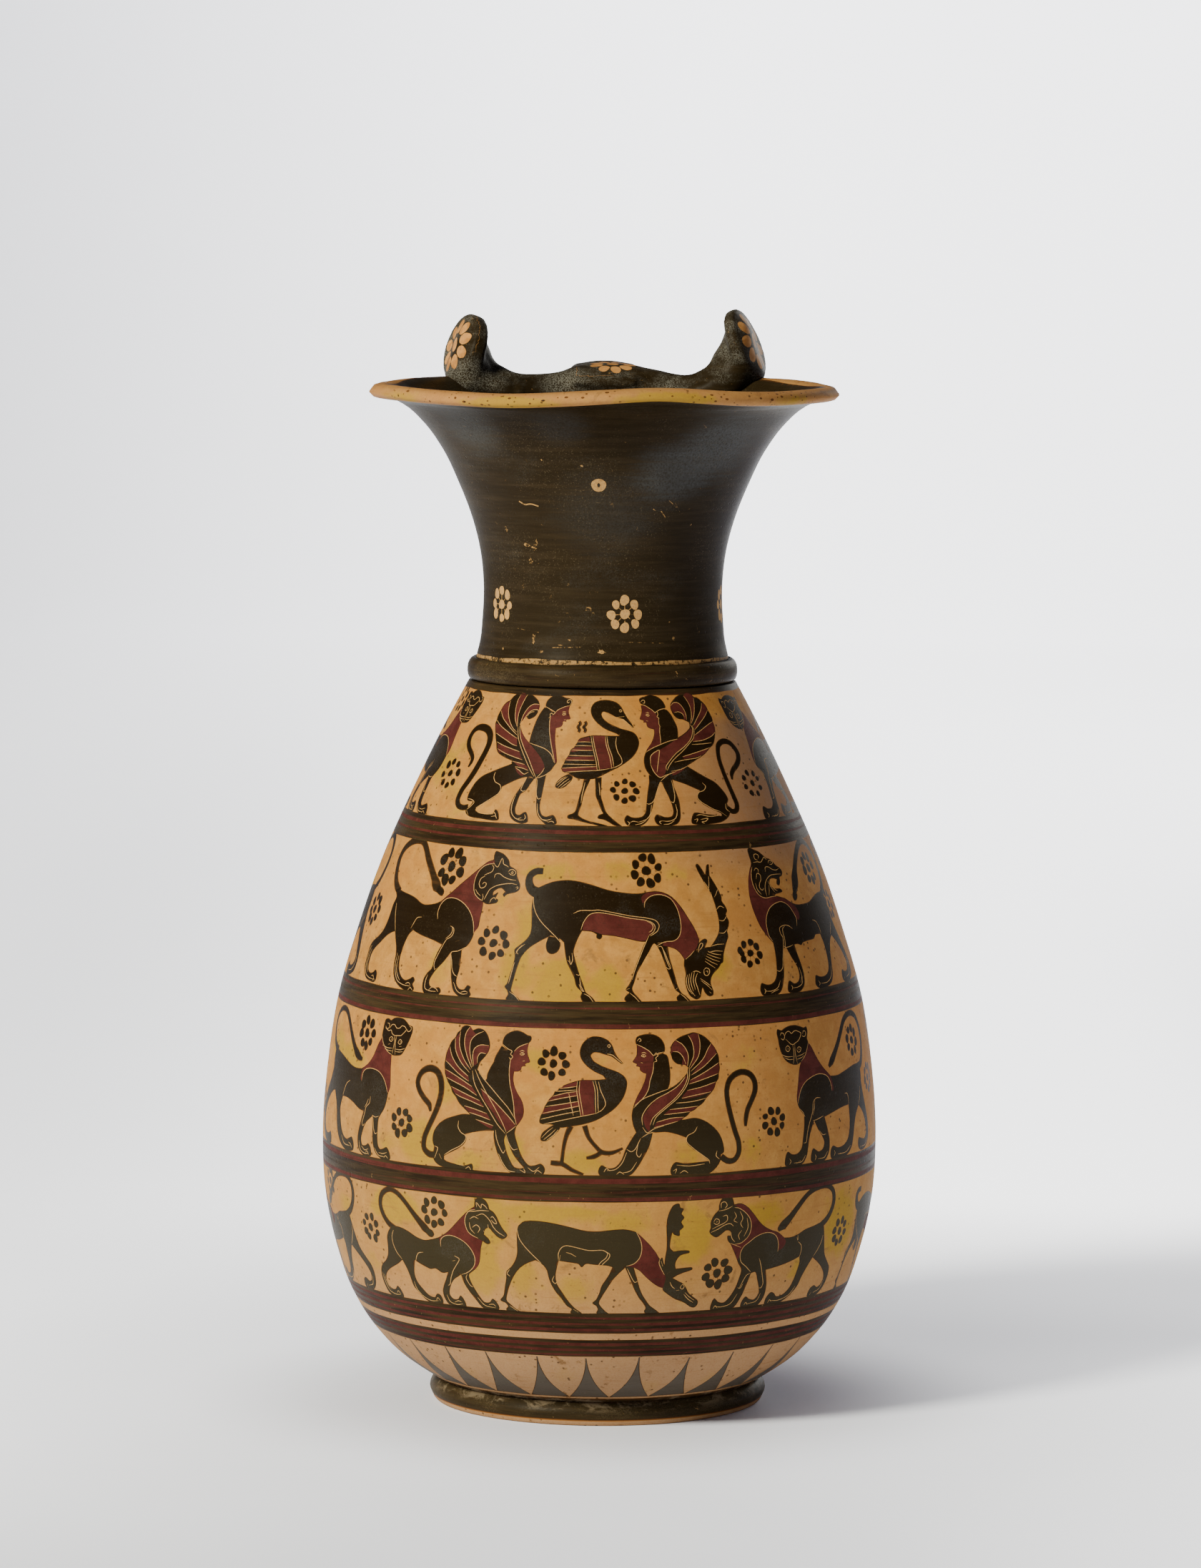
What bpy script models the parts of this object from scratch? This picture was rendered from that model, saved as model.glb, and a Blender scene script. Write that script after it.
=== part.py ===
"""Olpe: a wheel-thrown pouring jug, built from the clay members it is luted together from.

Metres, +Z up. The origin is on the jug's axis, at the plane it stands on. The handle is at +Y
and the pouring side faces -Y.
"""

import math

import bmesh
import bpy
from mathutils import Vector

MM = 0.001

# ---------------------------------------------------------------- driving dimensions, in mm
TURN_STEPS = 52           # facets round every wheel-thrown wall
RING_STEPS = 40           # facets round the small rings
GAP = 0.3                 # luting gap between neighbouring members

# (height, radius) stations of the outer walls
BODY_STATIONS = [
    (7.3, 49.0), (14.3, 59.3), (22.4, 67.2), (32.6, 73.7), (45.9, 78.6), (61.2, 82.0), (81.6, 83.1),
    (102.0, 81.6), (122.4, 78.4), (142.8, 72.5), (163.2, 65.4), (183.6, 56.4), (204.0, 46.5), (216.4, 39.9),
]
NECK_STATIONS = [
    (216.7, 37.9), (223.5, 37.6), (228.5, 36.5), (235.0, 35.9), (244.8, 35.6), (255.0, 36.6), (265.2, 39.2),
    (275.4, 43.2), (285.6, 48.2), (293.5, 54.0), (297.8, 58.6), (299.7, 61.6),
]
BODY_WALL = 5.0           # wall of the body, measured square to the surface
BODY_FLOOR_Z = 12.0       # inside of the floor
BODY_UNDER_Z = 5.2        # underside of the floor, inside the foot ring
BODY_UNDER_R = 39.6
BODY_TOP_IN_R = 34.2      # opening of the body, where the neck is luted on
BODY_SAMPLES = 20
NECK_WALL = 4.4
NECK_SAMPLES = 15

LIP_R = 70.0              # outermost radius of the lip
LIP_EDGE_Z = 302.2
LIP_TOP_Z = 304.8
# the rolled lip, from its upper crest round its edge to its underside
LIP_ROLL = [
    (303.9, 62.6), (304.6, 64.6), (LIP_TOP_Z, 66.6), (304.4, 68.5), (303.5, 69.6),
    (LIP_EDGE_Z, LIP_R), (301.1, 69.4), (300.4, 67.4), (300.0, 64.6),
]

COLLAR_IN_R = 38.2        # raised ring round the root of the neck
COLLAR_OUT_R = 40.3
COLLAR_LOW_Z, COLLAR_TOP_Z = 216.7, 223.4

FOOT_OUT_R = 50.5         # turned foot ring
FOOT_REST_R = (43.0, 49.0)    # inner and outer radius of the face it stands on
FOOT_TOP_Z = 7.0
FOOT_BULGE_Z = 2.9

BAR_ARC_R = 55.0          # cross-bar that joins the two rotelles inside the back of the lip
BAR_Z = 303.5
BAR_THICK_R = 2.9

ROTELLE_R = {"left": 9.8, "right": 10.6}
ROTELLE_THICK = 3.4
ROTELLE_FACE = {          # centre of the outer face, and the way it faces
    "left": ((-45.5, 47.0, 315.3), (-0.895, -0.180, 0.409)),
    "right": ((44.3, 47.0, 315.9), (0.905, -0.130, 0.405)),
}

STRAP_WIDTH = 22.0
STRAP_THICK = 7.0
# centre line of the strap handle in the plane X = 0: (y, z, width factor, thickness factor)
STRAP_PATH = [
    (51.2, 308.2, 0.92, 0.42), (57.0, 308.9, 0.95, 0.50), (64.0, 309.2, 0.98, 0.70), (70.5, 308.4, 1.00, 0.86), (75.6, 304.4, 1.00, 0.95),
    (78.6, 297.0, 0.99, 1.00), (79.2, 287.0, 0.98, 1.00), (78.4, 274.0, 0.97, 1.00), (76.0, 259.0, 0.97, 1.00),
    (72.2, 244.0, 0.98, 1.00), (67.4, 230.0, 1.02, 1.00), (62.0, 217.8, 1.08, 1.00), (57.0, 209.4, 1.15, 0.98),
    (52.8, 204.8, 1.24, 0.94), (48.5, 202.4, 1.34, 0.90),
]

# colours of the fired clay and of the painted slip
CLAY = (0.62, 0.41, 0.215)
SLIP = (0.030, 0.024, 0.018)


# ---------------------------------------------------------------- helpers
def clear_scene():
    for obj in list(bpy.data.objects):
        bpy.data.objects.remove(obj, do_unlink=True)


def collection(name, hidden=False):
    made = bpy.data.collections.new(name)
    bpy.context.scene.collection.children.link(made)
    made.hide_render = hidden
    return made


def finish(name, colour, roughness):
    material = bpy.data.materials.new(name)
    material.use_nodes = True
    shader = material.node_tree.nodes["Principled BSDF"]
    shader.inputs["Base Color"].default_value = (*colour, 1.0)
    shader.inputs["Roughness"].default_value = roughness
    shader.inputs["Metallic"].default_value = 0.0
    material.diffuse_color = (*colour, 1.0)
    return material


def smooth_curve(stations, count):
    """Points spread evenly in height along a cubic curve through the stations, as (height, radius)."""
    z = [s[0] for s in stations]
    r = [s[1] for s in stations]
    n = len(z)
    slope = []
    for i in range(n):
        if i == 0:
            slope.append((r[1] - r[0]) / (z[1] - z[0]))
        elif i == n - 1:
            slope.append((r[-1] - r[-2]) / (z[-1] - z[-2]))
        else:
            h0, h1 = z[i] - z[i - 1], z[i + 1] - z[i]
            slope.append(((r[i] - r[i - 1]) / h0 * h1 + (r[i + 1] - r[i]) / h1 * h0) / (h0 + h1))
    points = []
    for k in range(count):
        at = z[0] + (z[-1] - z[0]) * k / (count - 1)
        i = max(j for j in range(n - 1) if z[j] <= at + 1e-9)
        h = z[i + 1] - z[i]
        t = (at - z[i]) / h
        points.append((
            at,
            (2 * t**3 - 3 * t**2 + 1) * r[i] + (t**3 - 2 * t**2 + t) * h * slope[i]
            + (-2 * t**3 + 3 * t**2) * r[i + 1] + (t**3 - t**2) * h * slope[i + 1],
        ))
    return points


def inside_of(outer, wall):
    """The outer curve moved in by the wall, square to the surface, as (height, radius)."""
    moved = []
    for i, (z, r) in enumerate(outer):
        z0, r0 = outer[max(0, i - 1)]
        z1, r1 = outer[min(len(outer) - 1, i + 1)]
        along = math.hypot(z1 - z0, r1 - r0)
        moved.append((z + (r1 - r0) / along * wall, r - (z1 - z0) / along * wall))
    return moved


def turned(name, loop, steps, material, target, closed):
    """A turned solid: the loop of (height, radius), run down its outer side, under a Screw modifier."""
    mesh = bpy.data.meshes.new(name)
    shape = bmesh.new()
    verts = [shape.verts.new((r * MM, 0.0, z * MM)) for z, r in loop]
    for a, b in zip(verts, verts[1:]):
        shape.edges.new((a, b))
    if closed:
        shape.edges.new((verts[-1], verts[0]))
    shape.to_mesh(mesh)
    shape.free()
    obj = bpy.data.objects.new(name, mesh)
    target.objects.link(obj)
    screw = obj.modifiers.new("turning", "SCREW")
    screw.axis = "Z"
    screw.angle = 2 * math.pi
    screw.steps = steps
    screw.render_steps = steps
    screw.use_merge_vertices = True
    screw.merge_threshold = 0.00001
    screw.use_smooth_shade = True
    mesh.materials.append(material)
    return obj


# ---------------------------------------------------------------- members
def make_body(material, target):
    """The ovoid body: floor and wall thrown in one, open at the top where the neck goes."""
    outer = smooth_curve(BODY_STATIONS, BODY_SAMPLES)
    inner = [p for p in inside_of(outer, BODY_WALL) if p[0] > BODY_FLOOR_Z + 3.0 and p[0] < BODY_STATIONS[-1][0] - 4.0]
    top_z = BODY_STATIONS[-1][0]
    loop = [(BODY_FLOOR_Z, 0.0), (BODY_FLOOR_Z, inner[0][1] * 0.55), (BODY_FLOOR_Z + 0.9, inner[0][1] * 0.86)]
    loop += inner
    loop += [(top_z - 2.2, BODY_TOP_IN_R + 1.0), (top_z, BODY_TOP_IN_R)]
    loop += list(reversed(outer))
    loop += [(BODY_UNDER_Z + 2.1, BODY_UNDER_R + 1.2), (BODY_UNDER_Z, BODY_UNDER_R), (BODY_UNDER_Z - 0.4, 0.0)]
    return turned("body", loop, TURN_STEPS, material, target, closed=False)


def make_neck(material, target):
    """The neck and its flaring mouth, with the rolled lip turned from the same wall."""
    outer = smooth_curve(NECK_STATIONS, NECK_SAMPLES)
    inner = inside_of(outer, NECK_WALL)
    inner[0] = (outer[0][0], outer[0][1] - NECK_WALL)
    inner = [p for p in inner if p[0] < LIP_TOP_Z - 2.0]
    loop = inner + LIP_ROLL + list(reversed(outer))
    return turned("neck_and_mouth", loop, TURN_STEPS, material, target, closed=True)


def make_collar(material, target):
    """The raised ring that covers the joint between neck and shoulder."""
    mid = (COLLAR_LOW_Z + COLLAR_TOP_Z) / 2
    half = (COLLAR_TOP_Z - COLLAR_LOW_Z) / 2
    loop = [(COLLAR_LOW_Z, COLLAR_IN_R), (COLLAR_TOP_Z, COLLAR_IN_R)]
    for k in range(9):
        turn = math.pi / 2 - math.pi * k / 8
        loop.append((mid + half * 0.999 * math.sin(turn), COLLAR_IN_R + 0.5 + (COLLAR_OUT_R - COLLAR_IN_R - 0.5) * math.cos(turn) ** 0.7 if abs(math.cos(turn)) > 1e-6 else COLLAR_IN_R + 0.5))
    return turned("collar_ring", loop, RING_STEPS, material, target, closed=True)


def make_foot(material, target):
    """The foot ring, with a rounded outer edge and a flat face to stand on."""
    rest_in, rest_out = FOOT_REST_R
    loop = [(4.9, rest_in - 2.8), (FOOT_TOP_Z, rest_in - 1.4 + 0.9), (FOOT_TOP_Z, 48.3), (6.1, 49.5), (4.6, 50.3), (FOOT_BULGE_Z, FOOT_OUT_R), (1.4, 50.1), (0.4, 49.5), (0.0, rest_out), (0.0, rest_in), (1.8, rest_in - 1.4)]
    return turned("foot_ring", loop, RING_STEPS, material, target, closed=True)


def make_bar(material, target):
    """The cross-bar: a rolled coil along the inside of the lip, turned up at both ends to the rotelles."""
    stations = []          # (x, y, z, thickness factor)
    for k in range(9):
        turn = math.radians(-30.0 + 60.0 * k / 8)
        stations.append((BAR_ARC_R * math.sin(turn), BAR_ARC_R * math.cos(turn), BAR_Z, 1.0))
    ends = {}
    for side in ("left", "right"):
        (x, y, z), facing = ROTELLE_FACE[side]
        back = Vector((x, y, z)) - Vector(facing).normalized() * (ROTELLE_THICK + 2.6 + GAP)
        inward = back - Vector(facing).normalized() * 2.0
        sign = -1 if side == "left" else 1
        rise = Vector((sign * 33.0, 46.8, 305.6))
        ends[side] = [(*rise, 1.12), (*inward, 1.34), (*back, 1.38)]
    points = list(reversed(ends["left"])) + stations + ends["right"]

    data = bpy.data.curves.new("cross_bar", "CURVE")
    data.dimensions = "3D"
    data.bevel_depth = BAR_THICK_R * MM
    data.bevel_resolution = 2
    data.use_fill_caps = True
    spline = data.splines.new("POLY")
    spline.points.add(len(points) - 1)
    for point, (x, y, z, thick) in zip(spline.points, points):
        point.co = (x * MM, y * MM, z * MM, 1.0)
        point.radius = thick
    obj = bpy.data.objects.new("cross_bar", data)
    target.objects.link(obj)
    data.materials.append(material)
    return obj


def make_rotelle(side, material, target):
    """A rotelle: a turned disc with a slightly domed face and a short stub on its back."""
    radius = ROTELLE_R[side]
    thick = ROTELLE_THICK
    stub = thick + 2.6
    loop = [(0.35, 0.0), (0.25, radius * 0.55), (0.0, radius * 0.86), (-0.6, radius * 0.97), (-1.5, radius), (-2.5, radius * 0.95), (-thick, radius * 0.78),
            (-thick - 0.9, radius * 0.56), (-stub, radius * 0.43), (-stub, 0.0)]
    obj = turned("rotelle_" + side, loop, 24, material, target, closed=False)
    place, facing = ROTELLE_FACE[side]
    obj.location = Vector(place) * MM
    obj.rotation_mode = "QUATERNION"
    obj.rotation_quaternion = Vector(facing).to_track_quat("Z", "Y")
    return obj


def make_strap(material, target):
    """The strap handle: rounded sections lofted along its centre line, from the cross-bar over the lip down to the shoulder."""
    sides = 12
    shape = bmesh.new()
    rings = []
    for i, (y, z, wide, thick) in enumerate(STRAP_PATH):
        y0, z0 = STRAP_PATH[max(0, i - 1)][:2]
        y1, z1 = STRAP_PATH[min(len(STRAP_PATH) - 1, i + 1)][:2]
        along = Vector((0.0, y1 - y0, z1 - z0)).normalized()
        out = Vector((0.0, along.z, -along.y))
        ring = []
        for k in range(sides):
            turn = 2 * math.pi * k / sides
            c, s = math.cos(turn), math.sin(turn)
            across = math.copysign(abs(c) ** 0.62, c) * STRAP_WIDTH / 2 * wide
            deep = math.copysign(abs(s) ** 0.80, s) * STRAP_THICK / 2 * thick
            at = Vector((across, y, z)) - out * deep
            ring.append(shape.verts.new(at * MM))
        rings.append(ring)
    for a, b in zip(rings, rings[1:]):
        for k in range(sides):
            shape.faces.new((a[k], a[(k + 1) % sides], b[(k + 1) % sides], b[k]))
    shape.faces.new(list(reversed(rings[0])))
    shape.faces.new(rings[-1])
    bmesh.ops.recalc_face_normals(shape, faces=shape.faces)
    mesh = bpy.data.meshes.new("strap_handle")
    shape.to_mesh(mesh)
    shape.free()
    mesh.shade_smooth()
    mesh.materials.append(material)
    obj = bpy.data.objects.new("strap_handle", mesh)
    target.objects.link(obj)
    return obj


def main():
    clear_scene()
    target = collection("olpe")
    clay = finish("fired_clay", CLAY, 0.62)
    slip = finish("black_slip", SLIP, 0.38)
    make_body(clay, target)
    make_neck(slip, target)
    make_collar(slip, target)
    make_foot(slip, target)
    make_bar(slip, target)
    make_rotelle("left", slip, target)
    make_rotelle("right", slip, target)
    make_strap(slip, target)


main()
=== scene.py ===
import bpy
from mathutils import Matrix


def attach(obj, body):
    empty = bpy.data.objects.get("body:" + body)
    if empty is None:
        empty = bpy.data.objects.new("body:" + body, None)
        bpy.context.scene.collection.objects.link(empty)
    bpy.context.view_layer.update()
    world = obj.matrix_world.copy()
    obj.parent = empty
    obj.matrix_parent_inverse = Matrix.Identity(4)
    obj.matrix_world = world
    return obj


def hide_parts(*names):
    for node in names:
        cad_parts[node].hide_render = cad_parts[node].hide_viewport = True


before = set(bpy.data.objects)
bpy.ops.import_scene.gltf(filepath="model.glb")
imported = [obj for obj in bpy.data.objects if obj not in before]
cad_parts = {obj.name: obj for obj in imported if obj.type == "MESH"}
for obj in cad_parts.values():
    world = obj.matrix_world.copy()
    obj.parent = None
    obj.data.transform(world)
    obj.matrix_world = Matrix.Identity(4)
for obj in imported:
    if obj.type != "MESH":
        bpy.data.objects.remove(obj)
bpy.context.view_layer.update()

import math
import bpy
import numpy as np
from mathutils import Matrix, Vector
from mathutils.geometry import delaunay_2d_cdt

# A wheel-thrown jug with four painted animal friezes.  All drawing is done in
# millimetres on the unrolled wall: u runs round the wall, v up it.
MM = 0.001

# ---------------------------------------------------------------- drawing tools
# A drawing sheet is (pixels per mm, u of its left edge, height in pixels).
SHEETS = {"1a": (20, -68.23, 839), "1b": (20, -1.75, 839), "2a": (16, -95.47, 722), "2b": (16, -2.448, 722),
          "3a": (14, -111.29, 600), "3b": (14, -2.854, 600), "4a": (14, -110.13, 493), "4b": (14, -2.824, 493)}
FIGS = {}


def parse(txt):
    """Points of a drawn line; a point marked with ! is a sharp corner."""
    pts, corner = [], []
    for t in txt.split():
        corner.append(t.endswith("!"))
        x, y = t.rstrip("!").split(",")
        pts.append((float(x), float(y)))
    return np.array(pts), corner


def run(p, closed=False, step=0.3):
    """A smooth curve through the points."""
    n, out = len(p), []
    for i in range(n if closed else n - 1):
        p1, p2 = p[i % n], p[(i + 1) % n]
        p0 = p[(i - 1) % n] if closed else (p[i - 1] if i > 0 else 2 * p1 - p2)
        p3 = p[(i + 2) % n] if closed else (p[i + 2] if i + 2 < n else 2 * p2 - p1)
        d1 = max(np.linalg.norm(p1 - p0), 1e-6) ** .5
        d2 = max(np.linalg.norm(p2 - p1), 1e-6) ** .5
        d3 = max(np.linalg.norm(p3 - p2), 1e-6) ** .5
        t1 = ((p1 - p0) / d1 - (p2 - p0) / (d1 + d2) + (p2 - p1) / d2) * d2
        t2 = ((p2 - p1) / d2 - (p3 - p1) / (d2 + d3) + (p3 - p2) / d3) * d2
        k = max(1, int(math.ceil(np.linalg.norm(p2 - p1) / step)))
        for j in range(k):
            t = j / k
            out.append((2 * t ** 3 - 3 * t * t + 1) * p1 + (t ** 3 - 2 * t * t + t) * t1 + (-2 * t ** 3 + 3 * t * t) * p2 + (t ** 3 - t * t) * t2)
    if not closed:
        out.append(p[-1])
    return np.array(out)


def thin_out(c, tol, closed=False):
    """Drops points that lie within tol of the straight line between their neighbours."""
    if len(c) < 4:
        return c
    keep = np.zeros(len(c), bool)
    if closed:
        far = int(np.argmax(np.linalg.norm(c - c[0], axis=1)))
        c = np.concatenate([c, c[:1]])
        keep = np.zeros(len(c), bool)
        stack = [(0, far), (far, len(c) - 1)]
        keep[[0, far, len(c) - 1]] = True
    else:
        stack = [(0, len(c) - 1)]
        keep[[0, len(c) - 1]] = True
    while stack:
        a, b = stack.pop()
        if b - a < 2:
            continue
        d = c[b] - c[a]
        q = c[a + 1:b] - c[a]
        L = math.hypot(*d)
        e = np.abs(q[:, 0] * d[1] - q[:, 1] * d[0]) / L if L > 1e-9 else np.linalg.norm(q, axis=1)
        k = int(np.argmax(e))
        if e[k] > tol or (b - a > 2 and L > 2.6):
            k = k if e[k] > tol else (b - a) // 2 - 1
            keep[a + 1 + k] = True
            stack += [(a, a + 1 + k), (a + 1 + k, b)]
    return c[keep][:-1] if closed else c[keep]


def closed_curve(txt, tr):
    p, c = parse(txt)
    p = tr(p)
    idx = [i for i, k in enumerate(c) if k]
    if not idx:
        return thin_out(run(p, True), .035, True)
    out = []
    for a, b in zip(idx, idx[1:] + [idx[0] + len(p)]):
        out.append(thin_out(run(p[[k % len(p) for k in range(a, b + 1)]]), .035)[:-1])
    return np.concatenate(out)


def open_curve(txt, tr):
    p, c = parse(txt)
    p = tr(p)
    idx = [0] + [i for i, k in enumerate(c) if k and 0 < i < len(p) - 1] + [len(p) - 1]
    out = []
    for a, b in zip(idx, idx[1:]):
        out.append(thin_out(run(p[a:b + 1]), .035)[:-1])
    return np.concatenate(out + [p[-1:]])


def along(c):
    return np.concatenate([[0], np.cumsum(np.linalg.norm(np.diff(c, axis=0), axis=1))])


def ribbon(c, w):
    t = np.gradient(c, axis=0)
    t /= np.maximum(np.linalg.norm(t, axis=1, keepdims=True), 1e-9)
    nrm = np.stack([-t[:, 1], t[:, 0]], 1)
    return np.concatenate([c + nrm * w[:, None] / 2, (c - nrm * w[:, None] / 2)[::-1]])


def fig(name, sheet, fills=(), reds=(), incs=(), strokes=(), clays=()):
    """One stock figure: slip fills, added red, incised lines and brush strokes."""
    ppm, u0, H = SHEETS[sheet]
    tr = lambda p: np.stack([u0 + p[:, 0] / ppm, (H - p[:, 1]) / ppm], 1)
    d = dict(fill=[(closed_curve(t, tr), 1.0) for t in fills], red=[closed_curve(t, tr) for t in reds], inc=[open_curve(t, tr) for t in incs])
    for st in strokes:
        p, _ = parse(st[0])
        ws = [1.3 * float(q) / ppm for q in st[1].split()]
        c = open_curve(st[0], tr)
        ks, cs = along(tr(p)), along(c)
        cs = cs * ks[-1] / cs[-1]
        w = np.interp(cs, ks if len(ws) == len(ks) else np.linspace(0, ks[-1], len(ws)), ws)
        d["fill"].append((ribbon(c, w), 1.0 - .42 * (st[2] if len(st) > 2 else 0)))
    FIGS[name] = d


def add_lines(name, sheet, incs=(), fills=()):
    ppm, u0, H = SHEETS[sheet]
    tr = lambda p: np.stack([u0 + p[:, 0] / ppm, (H - p[:, 1]) / ppm], 1)
    FIGS[name]["inc"] += [open_curve(t, tr) for t in incs]
    FIGS[name]["fill"] += [(closed_curve(t, tr), .9) for t in fills]


# ------------------------------------------------------------------ first frieze
fig("sphinx_r1", "1a",
  fills=[
    # cap of hair
    "968,92 966,62 990,32 1030,20 1070,22 1102,32 1130,36 1150,46 1151,62 1141,78 1112,84 1080,96 1055,112 1044,126 1028,118 1000,106",
    # hair down the back, shoulder, chest
    "958,98! 936,135 919,185 909,245 905,300 906,328! 880,360 930,470 968,520 985,548! 1018,534 1046,528! 1052,514 1072,492 1088,462 1100,440 1096,415 1088,375 1074,320 1066,270 1064,226! 1080,222 1100,212 1106,196 1104,184 1116,180 1128,183 1124,174 1132,168 1152,165 1148,152 1138,132 1134,112 1140,82! 1080,90 1040,124 1010,118 985,102",
    # body and haunch
    "826,462! 770,486 700,520 645,550 610,588 592,630 583,680 590,706 632,712! 622,742 602,764 606,784 640,805 720,812 800,818 822,812 818,784 802,756 790,752 786,774 752,782 700,780 668,768 664,750! 700,722 738,694 776,662 792,636 796,606! 832,584 870,562 905,546 940,536! 920,500 880,470",
    # fore legs
    "938,536! 930,566 906,618 886,664 874,722 880,770 898,800 930,820 962,826 986,816 984,788 968,756 954,762 938,776 918,772 906,746 908,700 920,644 944,624 960,590 982,548!",
    "998,540! 1004,600 1014,652 1022,720 1036,772 1060,802 1084,824 1118,828 1138,820 1134,792 1116,768 1100,772 1084,780 1060,772 1044,742 1038,700 1042,640 1044,590 1048,526!",
    # wing
    "905,534! 872,512 845,492 848,478! 820,458 818,442! 760,424 704,398 682,372! 668,340 648,306 636,280! 614,240 604,212 606,196! 602,168 610,136! 618,104 638,78 664,66! 684,36 716,20 742,18! 768,12 790,20! 820,20 856,30 884,46! 908,68 918,92 918,112! 914,134 902,156 880,170 862,176 846,168 838,160! 826,176 808,196 806,216! 822,244 860,290 908,330! 960,374 1010,430 1032,478 1022,512 992,546 960,536",
  ],
  strokes=[("608,748 578,756 540,748 516,716 520,654 546,592 572,524 592,450 606,390 610,340 596,296 562,264 512,250 466,252 432,272 416,308 420,346 446,384 486,416 514,446 516,474 506,504", "26 24 24 24 26 28 30 30 30 32 34 34 34 30 28 28 28 24 22 20 18 8")],
  reds=[
    "1044,128! 1056,112 1082,98 1112,86 1141,80! 1136,112 1140,134 1150,152 1154,164 1134,169 1126,174 1130,183 1118,181 1106,185 1108,196 1102,212 1082,222 1066,226! 1068,270 1076,320 1090,375 1098,415 1100,440 1090,446! 1076,402 1056,346 1040,296 1024,242 1016,176 1020,150",
    "806,216! 812,150 836,102 870,80 916,80! 920,104 918,116 880,116 850,134 828,172",
    "742,18! 768,12 790,22! 776,90 770,140 778,190 790,226! 756,180 736,122 730,62",
    "612,134! 622,98 664,68! 670,96 682,140 712,190 762,242! 704,212 650,176",
    "606,214! 650,228 702,252 762,280 812,302! 826,350! 788,340 740,318 690,298 642,278! 618,246",
    "680,344! 722,352 782,368 852,384! 884,434! 822,418 752,398 706,396! 688,370",
    "822,444! 860,450 900,458 926,476! 934,496 905,486 868,474",
    "848,480! 880,500 916,522! 905,534 866,510",
    "820,240! 860,290 908,330 960,374 1010,430 1032,478 1020,508 990,520! 962,490 920,426 872,356 834,292",
  ],
  incs=[
    "966,92 1000,106 1028,118 1042,128 1030,140 1018,132 1008,140 1012,152 1004,164", "1044,126 1056,112 1082,98 1112,86 1140,80",
    "1016,150 1014,172 1024,242 1040,296 1056,346 1076,402 1090,446", "906,326 958,340 1018,360 1060,392 1084,440",
    "1140,76 1150,60 1142,44 1124,44 1116,56 1126,64 1134,56",
    "806,216 812,150 836,102 870,80 914,80", "806,214 828,172 850,134 880,116 914,116 918,130", "844,158 852,142 870,130 890,128",
    "790,226 778,190 770,140 776,90 790,40 800,20", "788,228 756,180 736,122 730,62 742,24", "795,262 762,242 712,190 682,140 668,92 668,70",
    "806,282 750,246 700,212 650,176 614,134", "812,302 762,280 702,252 650,226 606,196", "826,350 788,340 740,318 690,298 640,278", "852,384 782,366 722,350 668,332",
    "884,434 822,418 752,398 690,374", "905,462 868,454 820,446", "936,498 900,486 848,478", "940,508 916,522 880,500 850,484",
    "796,230 816,290 852,352 894,414 934,474 978,534", "808,222 832,290 872,352 922,422 962,490 992,544", "992,544 1020,508 1032,478",
    "986,548 1010,538 1044,522 1066,500", "938,540 918,600 916,620 930,628 944,622", "892,650 882,716 890,764 914,794 942,806 966,804", "966,804 972,790 964,770", "914,794 930,800 950,790",
    "1002,550 1012,650 1026,672 1040,664", "1024,700 1036,760 1062,796 1094,808", "1062,796 1090,800 1112,790", "1094,812 1116,806 1128,816",
    "726,520 724,548 742,580 780,598 792,624 784,650 740,690 692,728 664,748", "590,698 620,702 640,716 628,740 606,764", "606,770 626,796", "664,760 690,776 750,782 786,778", "776,796 800,790 812,806", "770,770 790,770 806,796",
  ])
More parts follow.
